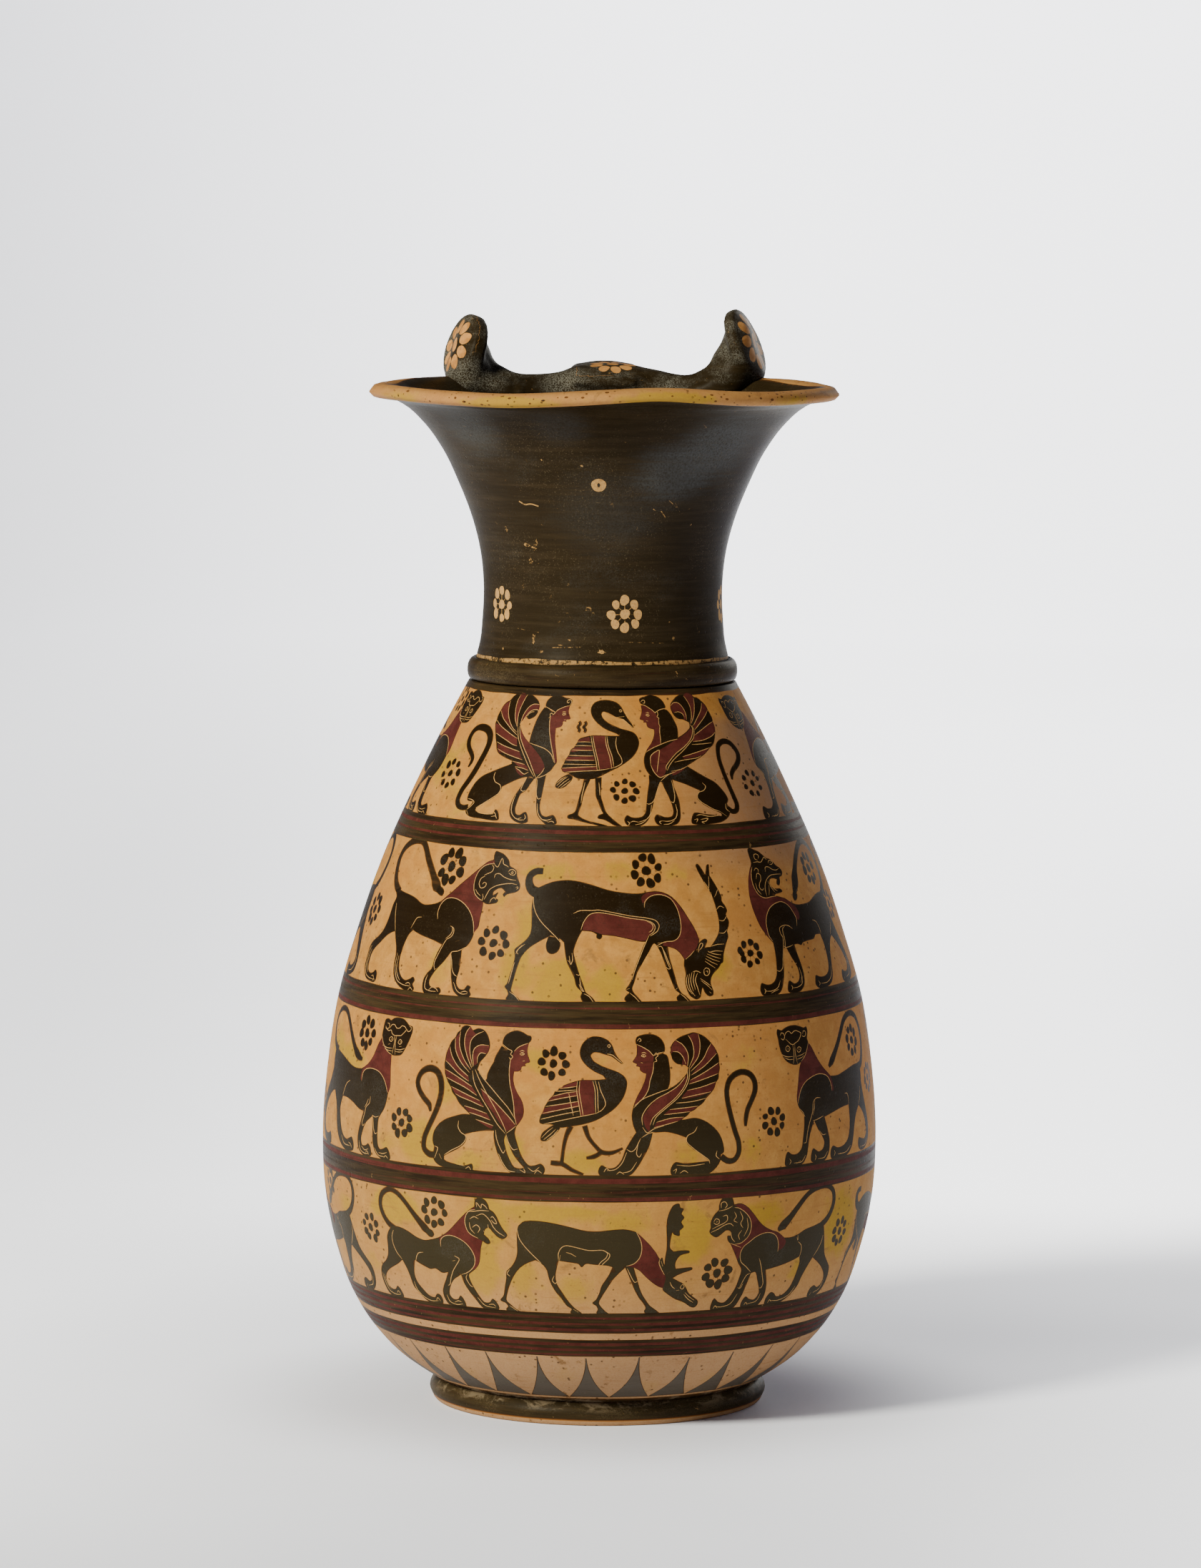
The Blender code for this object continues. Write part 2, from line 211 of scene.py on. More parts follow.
fig("swan_1", "1b",
  fills=[
    "240,218! 226,190 200,152 182,118 168,88 142,62 102,47 60,42 18,46 -20,62 -40,95 -36,132 -14,168 22,202 70,232 130,256 144,270! 90,270 20,268 -20,268 -64,276 -100,288 -112,300! -112,310 -124,326 -132,346! -148,356 -156,376! -158,388 -168,408! -178,424 -182,440! -190,458 -196,478! -186,496 -170,502 -150,506! -130,520 -100,536 -60,540 -10,538 30,520 80,492 130,466 180,432 222,396 250,356 264,310 256,274 236,250 200,236 160,226 112,206 72,186 42,160 30,132 40,116 80,124 120,145 140,152 172,162 206,192 232,216",
    "-134,508! -164,518 -198,544 -216,574 -216,594 -194,602 -168,592 -144,566 -128,536",
    "-62,536! -68,590 -80,640 -90,700 -100,744 -116,758 -136,768 -134,784 -104,790 -60,804 0,820 40,832 70,832 30,816 -30,800 -70,778 -84,762 -70,700 -64,650 -50,600 -26,538!",
    "0,536! 4,600 6,644 20,684 36,732 44,752 22,764 18,780 50,790 76,806 100,824 136,832 110,806 84,778 60,748 42,690 30,640 32,590 34,528!",
  ],
  reds=[
    "-112,298! -80,284 -44,276! -36,306! -70,306 -112,310", "-132,344! -90,338 -28,334! -22,362! -80,362 -150,372", "-168,404! -100,402 -14,396! -8,424! -80,424 -178,426", "-196,474! -120,466 6,460! 8,480! -60,484 -186,494",
    "-20,268! 12,268 52,270! 70,330 92,400 98,468! 60,474 22,478! 6,400 -10,330",
  ],
  incs=[
    "-112,310 -70,308 -32,310", "-130,334 -80,332 -26,334", "-150,360 -90,362 -20,362", "-164,394 -90,396 -14,396", "-176,424 -90,424 -8,424", "-190,450 -100,450 0,450", "-194,476 -100,468 6,462", "-170,500 -60,490 14,486 80,474",
    "-34,270 -20,340 2,430 10,486", "-22,270 -8,340 14,430 22,484", "56,270 62,330 82,400 92,470", "66,270 74,330 96,400 104,462", "126,276 120,312 130,370 150,410 152,438 124,460 84,474",
    "-212,586 -180,548 -156,528", "-204,598 -170,560 -146,540", "-190,600 -160,572 -138,552", "-214,572 -190,544 -166,528",
    "152,112 160,118 170,112 164,104 154,106 152,114", "134,152 156,150 184,146", "148,160 176,166 208,194 234,216", "-56,560 -62,600 -70,650 -72,690", "20,560 24,600 26,640",
  ])
fig("sphinx_l1", "1b",
  fills=[
    "306,62 302,38 318,28 345,22 372,15 410,16 450,30 478,60 486,92 466,104 436,108 402,126! 386,110 360,92 332,76",
    "308,78! 310,104 306,126 296,148 289,164 306,170 314,176 310,186 322,184 330,190 330,202 336,216 352,224 374,230! 374,252 360,290 334,330 310,358 302,374! 288,404 283,440 290,482 312,520 340,548 366,560! 400,545 436,540 450,528 480,500 470,440 470,400 500,330 522,298! 532,268 538,220 528,180 514,140 494,112! 450,100 402,124 380,108 340,80",
    "545,470! 600,508 652,544 702,576 736,620 756,660 760,690 744,712! 746,750 742,778 716,804 676,822 610,830 530,830 504,820 508,790 526,760 546,758 582,768 640,778 688,786 690,768! 640,740 592,706 566,672 574,642 592,622! 556,602 498,572 440,548 430,535 500,490",
    "302,516! 300,560 286,620 274,690 268,722 262,750 244,772 214,780 186,776 166,764 152,792 164,822 200,830 238,824 266,800 286,760 302,710 322,650 342,600 362,556!",
    "372,556! 386,610 402,660 412,712 412,750 400,774 366,780 340,770 320,762 306,790 322,824 380,830 422,820 442,790 450,740 453,690 447,640 436,590 436,540!",
    "640,196! 628,188 600,174 566,168 542,152 528,124 524,98! 534,72 560,50 590,30 632,14! 662,6 702,6 736,22! 748,36 776,42 802,62! 822,82 834,104 836,124! 844,150 848,180 842,198! 842,230 832,262! 808,302 788,330 770,346! 742,360 720,376! 690,396 662,410! 622,428 580,448 546,464! 520,496 480,516 440,532! 400,545 366,560 330,520 318,470 318,430 324,398 346,378 386,356 440,330 500,300 562,274 612,246 634,226",
  ],
  strokes=[("738,738 768,764 796,758 812,726 806,660 796,590 788,516 786,444 796,392 816,352 850,332 890,328 928,342 956,376 966,412 950,450 912,484 870,510 846,538 838,568", "24 22 22 22 22 22 22 22 22 24 24 26 26 28 28 26 24 22 20 8")],
  reds=[
    "310,78! 334,80 362,94 388,114 402,128! 416,152 414,200 412,236 408,300 404,324! 350,346 310,368! 312,356 334,330 360,290 374,252 374,230! 352,224 336,216 330,202 330,190 322,184 310,186 314,176 306,170 289,164 296,148 306,126 312,104",
    "526,100! 536,72 562,64 600,68 622,98 630,140 624,176! 606,176 612,150 592,128 560,122 540,132",
    "656,24! 672,12 700,8 736,22! 742,40 730,82 702,140 656,200! 648,200 676,150 686,92 672,48",
    "802,76! 824,88 832,124! 790,158 730,198 668,240! 668,218 720,166 770,122",
    "842,200! 842,232 828,268! 790,288 700,312 626,318! 650,278 720,246 790,216",
    "740,360! 690,394 660,406! 600,414 536,420 528,410! 600,392 690,372",
    "540,472! 500,500 444,520 440,500! 500,488",
    "322,452! 326,402 346,380 386,362 440,336 500,304 562,278 612,250 640,232! 644,250 616,296 566,338 500,376 440,424 412,462 404,500 384,524 364,532! 336,500",
  ],
  incs=[
    "306,72 332,76 360,92 386,110 402,126 416,116 420,136 410,152 422,160 416,172", "402,124 436,108 464,102 494,100", "308,56 322,44 338,46 336,62 322,62",
    "420,160 414,200 418,212 410,240 406,300 402,326", "300,374 350,346 404,326 450,310 522,296",
    "320,452 326,402 346,380 386,362 386,370 370,430 352,500", "320,452 336,500 366,532 400,520 440,508 470,498",
    "640,206 652,226 640,266 616,300 560,344 490,386 436,436 412,466 410,488", "656,214 660,240 642,290 600,326 540,372 470,422 432,462 416,490",
    "626,178 632,134 616,88 590,66 556,66 530,84", "614,160 606,138 578,124 546,128", "646,204 676,150 686,92 672,48 656,24", "656,202 702,140 730,82 742,40", "666,216 720,166 770,122 802,76", "666,244 730,200 790,160 834,124", "652,278 720,246 790,216 842,198", "630,316 700,312 790,288 830,266", "614,334 700,334 770,330",
    "530,408 600,392 690,372 742,360", "470,440 540,428 620,420 660,408", "440,496 500,486 546,468", "366,556 396,530 430,510", "362,560 340,610 310,680 284,696 272,690", "298,700 286,760 262,790 222,806", "222,806 196,800 180,806", "262,796 230,816 204,822", "166,800 176,812 170,824",
    "430,552 434,600 432,660 420,690 408,684", "430,700 432,750 416,788 376,804 344,800", "344,800 330,806 338,820", "410,800 380,820 350,822",
    "618,574 634,598 616,622 580,634 566,664 580,690 612,716 652,744 690,760", "536,776 560,770 610,784 670,782", "520,800 540,796 530,816", "556,800 600,796 584,812 560,816 574,826", "736,712 730,744 748,764", "690,762 720,790",
  ])

# ------------------------------------------------------------------ second frieze
fig("lion_r2", "2a",
  fills=[
    "948,34 954,17 974,20 1000,28 1022,42 1040,60 1050,84 1072,94 1090,106 1098,132 1112,156 1122,178 1118,198 1098,210 1072,216 1056,222 1046,234! 1038,222 1048,208! 1026,192 1008,194! 984,212 984,228! 996,224 1010,214 1004,232 1000,242! 1016,250 1012,262 986,270 958,272 934,262 914,252! 936,266 939,290 936,340 934,384 918,408! 912,440 898,470 868,498! 872,540 874,590 868,632 872,660 892,682 916,682 930,662 946,668 942,684 952,704 942,716 898,716 864,692 846,652 834,610 824,560 812,512! 806,522 780,562 750,598 734,624 722,656 730,680 756,690 782,684 796,700 786,716 738,720 704,714 690,692 688,652 700,624 722,598 726,560 736,520 752,482! 700,466 600,446 546,430! 524,450 508,490 501,530 500,572 506,602 522,636 550,662 576,670 602,660 620,650 634,664 626,684 640,704 630,718 588,716 544,702 504,676 480,642 468,600 464,560 450,520 426,482 408,450! 380,458 340,480 300,516 264,546 246,572 242,600 246,636 258,656 286,668 312,662 328,648 346,660 352,690 342,704 300,704 250,692 224,666 207,636 202,590 204,546 216,524 242,504 272,484 296,455 310,420 316,380 318,330 328,288 300,262! 330,246 356,256 392,262 442,268 500,280 546,298 582,305 622,300 662,290 690,276! 716,252 742,230 772,200 812,164 852,128 892,92 920,70 950,58",
  ],
  strokes=[("344,262 306,246 276,224 250,194 228,150 216,102 228,62 262,32 310,12 362,4 410,8 452,34 500,80 550,126 596,172 632,212 664,238", "26 30 28 28 30 32 32 30 28 26 26 26 28 28 28 30 46 10", .55)],
  reds=["956,60! 920,72 892,94 852,130 812,166 772,202 742,232 716,254 692,278! 682,306 684,336! 690,292 714,266 744,257 784,260 826,276 862,302 890,336 908,376 916,418! 930,400 935,360 937,300 938,266! 914,252 880,226 866,190 866,150 876,120 902,92 934,80 960,78"],
  incs=["960,78 934,80 902,92 876,120 866,150 866,190 880,226 914,252 934,258", "692,364 682,334 690,292 714,266 744,257 784,260 826,276 862,302 890,336 908,376 916,418",
    "778,390 800,400 805,420 796,440 772,456 756,490 740,532 729,574 738,602", "790,392 796,412 788,432 766,452", "738,604 748,596", "886,484 850,504 814,514 826,556 836,592 852,616 868,624", "346,318 366,370 390,418 408,450", "582,364 552,370 538,392 524,424",
    "222,540 212,566 212,606 222,646 244,676 280,690 330,694", "232,556 226,600 234,640 258,668", "474,550 478,604 492,640 520,676 566,692 616,694", "488,560 492,610 508,646 536,674", "706,630 700,660 706,694 736,704 770,704", "728,700 744,686 770,692 782,704", "856,652 880,690 910,704 936,700", "902,696 922,690 936,694", "330,688 318,676 300,680", "612,688 598,678 580,686", "322,702 332,690 340,700", "604,714 616,700 630,710",
    "962,84 982,92 990,70 998,50 1006,60 1012,76 1032,84 1044,90", "950,70 966,84", "948,84 960,96 954,116 930,128 914,136", "920,140 900,152 894,178 908,198 930,192 936,176 922,170 914,180", "974,146 978,128 1000,124 1026,138 1058,148 1096,152", "940,252 950,226 960,204 990,184 1036,172 1078,168 1104,172", "1046,112 1056,102 1074,102 1088,114 1082,126 1064,126 1050,118", "1062,114 1070,110 1074,118 1066,120 1062,114", "1100,186 1108,182 1112,190 1104,194", "974,266 978,250 994,240 1004,250", "880,206 896,224 916,236", "930,258 932,240 926,226"],
  clays=[])
fig("goat_2", "2b",
  fills=[
    "-278,186! -233,164 -188,149 -118,142 -48,152 12,168 78,188 150,200 220,205 262,199 300,195 342,200 380,218 404,240 432,278 456,322 478,364 492,398 500,430! 486,470 470,482! 440,506 420,520! 416,512 400,486 376,466 346,457! 350,510 360,560 370,610 378,650 390,676 412,696 428,719 376,716 369,697 384,680 366,660 355,630 340,580 326,530 314,490 300,456! 284,440 250,490 220,540 200,576 186,620 176,650 180,668 197,690 214,716 156,716 143,701 150,685 164,670 150,656 160,640 176,610 191,560 211,510 236,450 246,432! 220,430 160,416 100,403 46,398! 46,408 36,419 22,412 22,396! 0,384 -46,380! -58,402 -73,440 -82,480 -73,520 -58,570 -48,600 -33,640 -23,670 3,692 20,720 -28,718 -43,692 -38,670 -62,642 -73,602 -88,570 -108,530 -119,480 -126,438! -146,420 -190,406! -248,440 -288,470 -318,510 -330,550 -340,600 -348,650 -350,672 -328,695 -300,724 -336,724 -368,714 -360,690 -366,672 -379,655 -370,640 -362,600 -353,560 -348,510 -353,480 -328,455 -303,430 -288,405 -284,380 -287,330 -293,280 -290,235",
    "-200,410! -208,455 -198,485 -178,493 -155,482 -143,450 -152,418!",
    # head, with its long beard hair
    "420,518! 415,550 420,586 414,620 418,660 430,690 456,708 474,700 480,680 490,655 500,680 516,696 534,692 538,672 530,640 536,610 552,588 576,568 592,548 602,520 560,470 520,470 470,482 440,504",
    # horns
    "528,492! 560,460 586,430 606,400 616,350 614,300 606,250 596,212 582,182 562,142 544,100 538,76 548,69 558,78 566,92 582,122! 592,100 600,78 612,74 610,92 605,128! 624,164 640,200 650,232 648,252 664,280 668,300 658,318 668,348 664,368 650,396 652,418 634,454 614,500 600,544",
    "486,494! 489,464 504,440 530,427 539,434 526,462 506,492!",
  ],
  strokes=[("-256,102 -292,104 -320,126 -322,160 -304,192 -276,206", "22 24 26 30 34 40")],
  reds=[
    "-44,378! -40,350 -26,322 0,301 30,297 80,303 140,312 200,320 250,329 278,342 291,362 280,382 260,402 246,426! 220,428 150,412 90,400 46,397! 0,382",
    "240,250! 236,222 262,201 300,197 344,203 384,226 410,252 440,296 460,332 480,372 500,424! 486,462 470,482! 440,505 420,520! 404,490 378,466 345,457 322,452! 332,435 380,430 406,408 418,370 417,320 405,270 380,231 345,213 310,210 276,220 252,246",
  ],
  incs=[
    "-290,228 -286,262 -270,304 -240,344 -206,376 -168,410 -140,440", "-90,300 -60,286 0,284 30,282 100,294 180,310 260,321 300,334 313,356 305,380 286,396 266,406", "-52,378 -40,340 -18,308 0,298 30,294 100,304 180,321 250,331 282,344 294,362 285,386 262,402",
    "256,336 276,346 284,362 276,380 262,388", "248,270 252,244 276,220 310,210 345,213 380,231 405,270 417,320 418,370 406,408 380,430 332,435 290,456", "262,404 238,452 214,508 192,562 178,610", "284,444 252,492 226,536 204,578", "300,458 316,456 332,510 346,552 352,560 340,562 332,554", "318,458 330,486 344,530 354,556",
    "300,440 340,436", "-308,452 -332,472 -344,490 -334,500", "-320,456 -336,476 -346,500", "-348,540 -358,600 -364,640", "-100,500 -92,540 -84,520 -88,486", "-92,536 -106,520", "-66,586 -54,590 -46,582", "-50,600 -44,640 -30,668 -40,660 -52,632", "-30,676 -8,688 10,714", "-356,678 -330,694 -308,718", "166,672 186,690 206,714", "386,680 404,696 420,716", "152,656 166,650", "366,660 376,652",
    "612,232 626,214 637,196", "612,292 634,276 656,286", "616,342 640,346 662,324", "606,402 632,404 652,388", "554,464 590,456 624,456", "540,492 574,486 612,490", "596,222 588,196 594,168 600,130", "570,156 584,182 592,196", "602,244 596,206",
    "490,490 494,466 508,446 516,452 506,470 494,480", "424,520 450,500 470,480", "536,486 566,500 600,506", "530,498 560,512 596,524", "524,508 556,526 588,538", "520,520 548,538 576,552", "516,532 540,550 562,566",
    "506,572 518,564 532,572 530,590 518,600 506,594 506,572", "514,580 522,578 522,588", "426,592 418,622 424,660 440,684", "436,588 428,622 434,664 452,694", "448,582 438,622 446,670", "460,580 450,618 456,664", "474,586 460,618 466,650 474,690", "484,612 510,632 530,650", "486,622 512,644 534,668", "452,580 470,576 490,586", "520,676 528,684",
  ])
fig("lion_l2", "2b",
  fills=[
    "884,44 886,16 904,9 930,19 960,30 986,50 1004,66 1024,70 1046,85 1064,106 1090,121 1101,140 1090,156 1066,164 1060,184 1044,202 1030,194 1040,172! 1012,164 986,168 974,188! 984,206 1004,216 1046,220 1056,232 1030,238 1002,240 988,250! 1010,254 1062,268! 1100,290 1142,305 1200,308 1270,304 1332,286 1392,273 1450,270 1478,262 1494,320 1494,400! 1512,456 1542,524 1572,590 1584,640 1576,680 1530,706 1470,714 1420,708 1410,692 1416,668 1432,654 1450,664 1484,668 1520,656 1536,626 1520,590 1490,548 1456,512 1420,482! 1384,502 1352,542 1326,602 1306,660 1282,690 1232,710 1160,712 1136,694 1140,668 1152,650 1182,660 1232,660 1270,642 1290,610 1300,560 1300,500 1290,462! 1240,460 1216,476 1160,480 1112,486 1096,496 1070,488 1044,490! 1048,530 1058,580 1062,630 1050,680 1022,706 980,716 938,706 940,680 956,656 982,672 1012,666 1030,640 1030,600 1006,550 984,498! 966,500 950,540 936,600 920,650 890,700 850,716 790,713 777,690 790,654 812,662 836,664 866,650 886,620 896,580 905,520 906,470! 886,446 866,420 846,384 832,340 822,290 820,240 828,190 842,150 862,114 884,84",
  ],
  strokes=[("1480,272 1516,246 1548,190 1560,130 1542,72 1492,28 1430,14 1370,28 1310,62 1252,112 1212,162 1182,210 1160,242 1148,268", "30 28 28 28 26 26 26 24 24 24 24 24 26 44 34 8", .25)],
  reds=["884,86! 862,115 842,150 828,190 820,240 822,290 832,340 848,385 868,420 886,446 900,460! 888,436 885,400 890,362 910,326 940,300 980,285 1020,280 1054,290 1082,312 1100,342 1110,370! 1126,378 1142,360 1136,322 1102,292 1062,270 1010,256 986,252! 950,252 915,250 888,240 868,214 858,180 860,140 868,116"],
  incs=["884,100 866,130 858,170 865,210 885,240 920,255 960,252 1000,252", "904,462 888,436 885,400 890,362 910,326 940,300 980,285 1020,280 1054,290 1082,312 1100,342 1110,370 1100,404",
    "1060,414 1030,396 996,394 968,404 966,428 976,450 966,490 946,546 930,592 908,606 890,600", "1006,398 988,408 984,432 986,462 964,530", "966,490 984,498 1010,496 1034,490", "1000,560 1012,580 1030,578", "1250,390 1280,400 1298,430 1300,466", "1460,420 1436,450 1410,478", "1048,640 1036,676 1004,690 970,692", "1040,600 1044,644 1028,672", "900,650 876,682 838,694 800,692", "796,704 806,690 800,680", "834,704 856,696 880,690", "960,700 968,688 962,678", "1310,620 1290,664 1240,690 1180,692", "1160,700 1170,690 1162,676", "1540,600 1556,640 1530,680 1470,694", "1436,700 1444,688",
    "938,72 918,62 920,44 938,40 952,50 944,64", "900,80 930,78 956,82 976,68 990,60 1004,74", "1008,92 1018,80 1034,78 1046,90 1034,98 1016,96", "1024,88 1032,86 1030,92", "970,130 976,110 1000,108 1030,124 1056,128 1084,122", "934,248 934,216 944,188 968,164 1000,150 1050,148 1084,150", "950,244 960,222 968,196", "890,160 906,134 924,142 922,164 906,182 898,202 912,216 926,208", "878,180 880,210 900,236", "968,176 980,206 1000,234", "996,182 990,200 1002,218 1022,228", "890,120 906,108 920,116 916,132"],
  clays=[])

# ------------------------------------------------------------------ third frieze
fig("panther_r3", "3a",
  fills=[
    "500,72 503,46 507,28 526,21 546,27 562,17 592,11 626,14 652,27 666,37 686,40 690,58 682,86 670,112 656,137 640,158 612,165 580,165 554,158 530,141 510,120 500,96",
    "503,100! 480,132 455,182 425,216 386,240 372,246! 322,249 270,242 220,228 170,215 120,205 78,198 50,204 40,240 46,282! 20,330 -20,372 -60,420 -80,470 -82,520 -60,560 -20,588 40,596 88,590 92,564 76,546 56,554 20,560 -20,548 -40,520 -36,480 -6,436 40,396 84,372 106,368! 140,412 156,452 166,502 186,542 216,572 260,592 312,594 344,586 348,562 330,535 310,541 280,550 250,540 226,516 206,470 196,432 206,400 216,378! 262,378 322,390 380,410 418,416! 405,452 390,492 382,532 390,570 420,593 466,597 487,590 482,560 465,545 446,555 420,556 410,532 418,502 440,462 474,436 490,426! 492,462 495,502 500,542 520,576 560,596 602,597 614,588 606,560 590,545 570,553 550,558 536,546 528,512 528,470 531,432 546,411 562,390 574,358 580,322 589,300 588,270 582,222 578,168!",
  ],
  strokes=[("92,202 44,190 6,160 -14,112 -2,66 40,36 90,27 140,37 190,72 230,112 270,152 310,186 344,203 368,208", "24 22 20 20 20 18 18 18 18 18 18 20 22 30 10", .35)],
  reds=["503,100! 480,132 455,182 425,216 386,240 372,262 370,290! 381,294 384,264 402,246 432,237 472,236 512,245 542,266 562,292 576,322! 587,318 589,280 582,222 578,168! 554,159 528,142 508,119"],
  incs=["381,296 384,264 402,246 432,237 472,236 512,245 542,266 562,292 576,322", "500,96 512,122 532,142 556,158 580,165", "462,350 458,378 436,396 426,430 412,466 420,476 432,466", "448,362 440,380 424,400", "484,424 506,430 530,424", "492,434 500,478 512,498 526,492", "276,306 246,322 228,346 214,376", "394,540 404,574 436,588 470,586", "414,560 440,574 466,566", "446,584 456,576 470,590", "510,556 536,582 580,586", "540,572 566,574 592,566", "574,590 584,580 600,590", "226,540 256,570 312,574", "300,560 320,566 330,580",
    "514,52 526,64 540,56 538,42 524,40", "654,52 664,62 678,56 680,44 668,40", "514,60 540,70 556,66 566,80 584,86 600,84 624,82 640,68 652,56 640,44 622,42 610,52 590,54 574,42 556,44 544,60", "584,88 588,110 582,160", "597,88 594,112 600,163", "553,98 566,92 576,102 566,112 552,106 553,98", "563,100 568,102 564,106", "614,104 624,98 634,108 624,118 612,112 614,104", "622,106 627,108 624,112", "512,132 548,140 580,138", "530,146 556,150 582,150", "600,140 628,140 656,132", "600,150 624,150 646,146", "548,126 560,122", "620,128 634,126"],
  clays=[])
fig("sphinx_r3", "3a",
  fills=[
    "1147,74 1154,45 1175,28 1206,19 1236,27 1252,36 1268,40 1270,54 1258,68 1236,76 1216,86 1202,100 1190,106 1168,96",
    "1143,84! 1118,130 1112,152 1098,176 1087,204 1086,220! 1060,262 1080,300 1120,340 1150,390 1182,436! 1204,420 1222,404! 1236,386 1248,362 1250,332 1240,300 1220,270 1206,240 1200,212 1203,184! 1222,182 1232,174 1234,164 1244,160 1252,160 1248,154 1254,148 1268,143 1264,130 1257,112 1255,94 1260,68! 1230,76 1204,96 1180,104",
    "1034,372! 990,370 940,384 900,400 870,424 851,454 847,490 856,512! 852,540 855,566 880,586 950,599 1032,600 1038,590 1034,570 1002,578 950,575 906,562 904,546! 922,535 960,516 996,490 1006,468 1000,450! 1032,440 1082,430 1130,426 1140,420 1090,390",
    "1130,412! 1128,452 1140,502 1160,546 1180,576 1210,596 1262,598 1284,590 1262,572 1240,576 1216,570 1196,540 1180,500 1172,462 1180,436!",
    "1176,434! 1194,480 1215,522 1240,552 1266,578 1290,597 1332,598 1342,572 1326,553 1302,560 1280,562 1260,545 1240,510 1226,470 1216,432 1224,400!",
    "1118,420! 1082,406 1046,388! 1022,372 1012,362! 990,346 966,326 948,302! 930,284 922,264! 906,246 896,228! 888,212 886,194! 882,176 884,158! 888,128 898,102! 908,80 924,64! 934,42 946,34! 954,18 972,11 990,14! 1004,30! 1030,20 1056,25 1076,45 1089,80 1087,104 1072,130 1052,152! 1044,172 1040,186! 1070,220 1112,262 1152,302 1192,342 1218,384! 1200,418 1180,432 1150,430",
  ],
  strokes=[("866,546 832,546 804,524 804,482 822,438 846,390 866,340 876,290 870,242 850,210 818,198 784,206 760,228 750,262 766,296 796,326 820,346 828,372", "20 20 18 18 18 18 20 20 22 22 22 20 18 18 18 18 18 8", .45)],
  reds=[
    "1202,100! 1216,86 1236,76 1260,69! 1256,94 1258,112 1265,130 1269,143 1255,148 1249,154 1253,160 1245,160 1235,164 1233,174 1222,182 1203,185! 1201,212 1207,240 1221,270 1241,300 1251,332 1249,362 1237,386 1222,400! 1210,360 1208,320 1198,274 1188,236 1182,180 1188,130",
    "1022,172! 1014,130 1020,102 1046,86 1086,86! 1088,104 1078,118 1050,118 1037,136 1038,160",
    "992,16! 1004,30 1022,44! 1000,72 1000,120 1018,174! 986,130 970,82 974,40", "925,66! 948,36! 946,86 970,140 1010,186! 960,160 930,112", "886,160! 892,120 900,102! 916,140 950,180 1000,214! 1004,234 950,206 910,178",
    "888,196! 916,206 960,226 1018,254! 1044,288 990,262 930,240 898,228", "924,263! 950,272 1000,290 1058,310! 1078,334 1020,316 970,302 946,292", "990,336! 1040,346 1094,360! 1108,384 1060,372 1016,362",
    "1062,262! 1092,284 1132,316 1172,352 1202,382 1218,398 1202,416 1182,426! 1152,396 1112,346 1076,302", "1046,388! 1082,396 1122,408! 1118,420 1082,406",
  ],
  incs=[
    "1148,78 1170,94 1190,104 1184,116 1194,124 1186,136 1178,128", "1200,102 1216,86 1236,76 1258,68", "1186,130 1182,180 1188,236 1198,274 1208,320 1212,360 1222,398", "1048,196 1070,220 1110,258 1148,296 1186,334 1214,374",
    "1022,172 1014,130 1020,102 1046,86 1084,86", "1038,160 1037,136 1050,118 1074,120", "1018,176 1000,120 1000,72 1022,46 1056,30", "1014,182 986,130 970,82 974,40 990,16", "1008,188 970,142 946,88 946,38", "1004,200 960,160 930,112 924,66", "1000,216 950,181 916,141 900,102", "1004,236 950,206 910,176 886,160", "1020,256 960,226 916,206 888,195", "1044,290 990,262 930,240 898,228", "1060,311 1000,290 950,272 924,263", "1078,335 1020,315 970,301 946,291", "1094,361 1040,346 990,336", "1110,386 1060,371 1014,361", "1124,408 1082,396 1046,387",
    "1030,186 1050,222 1090,282 1130,340 1166,400 1180,430", "1018,192 1030,240 1062,292 1102,346 1142,402 1176,436", "1062,262 1092,284 1132,316 1172,352 1202,382 1216,398", "1180,436 1204,418 1222,402", "1134,424 1140,460 1158,500 1170,516 1178,502", "1180,440 1192,474 1212,500 1230,496", "1150,520 1168,556 1194,586 1220,590", "1240,580 1262,590 1256,574", "1274,570 1296,584 1320,566", "1300,594 1312,580 1330,590",
    "968,398 966,422 980,444 1002,456 1004,470 984,496 940,520 906,542", "856,510 872,516 866,540 858,560", "910,558 952,572 1002,580", "1006,590 1020,582 1030,594", "880,540 892,560"],
  clays=[])
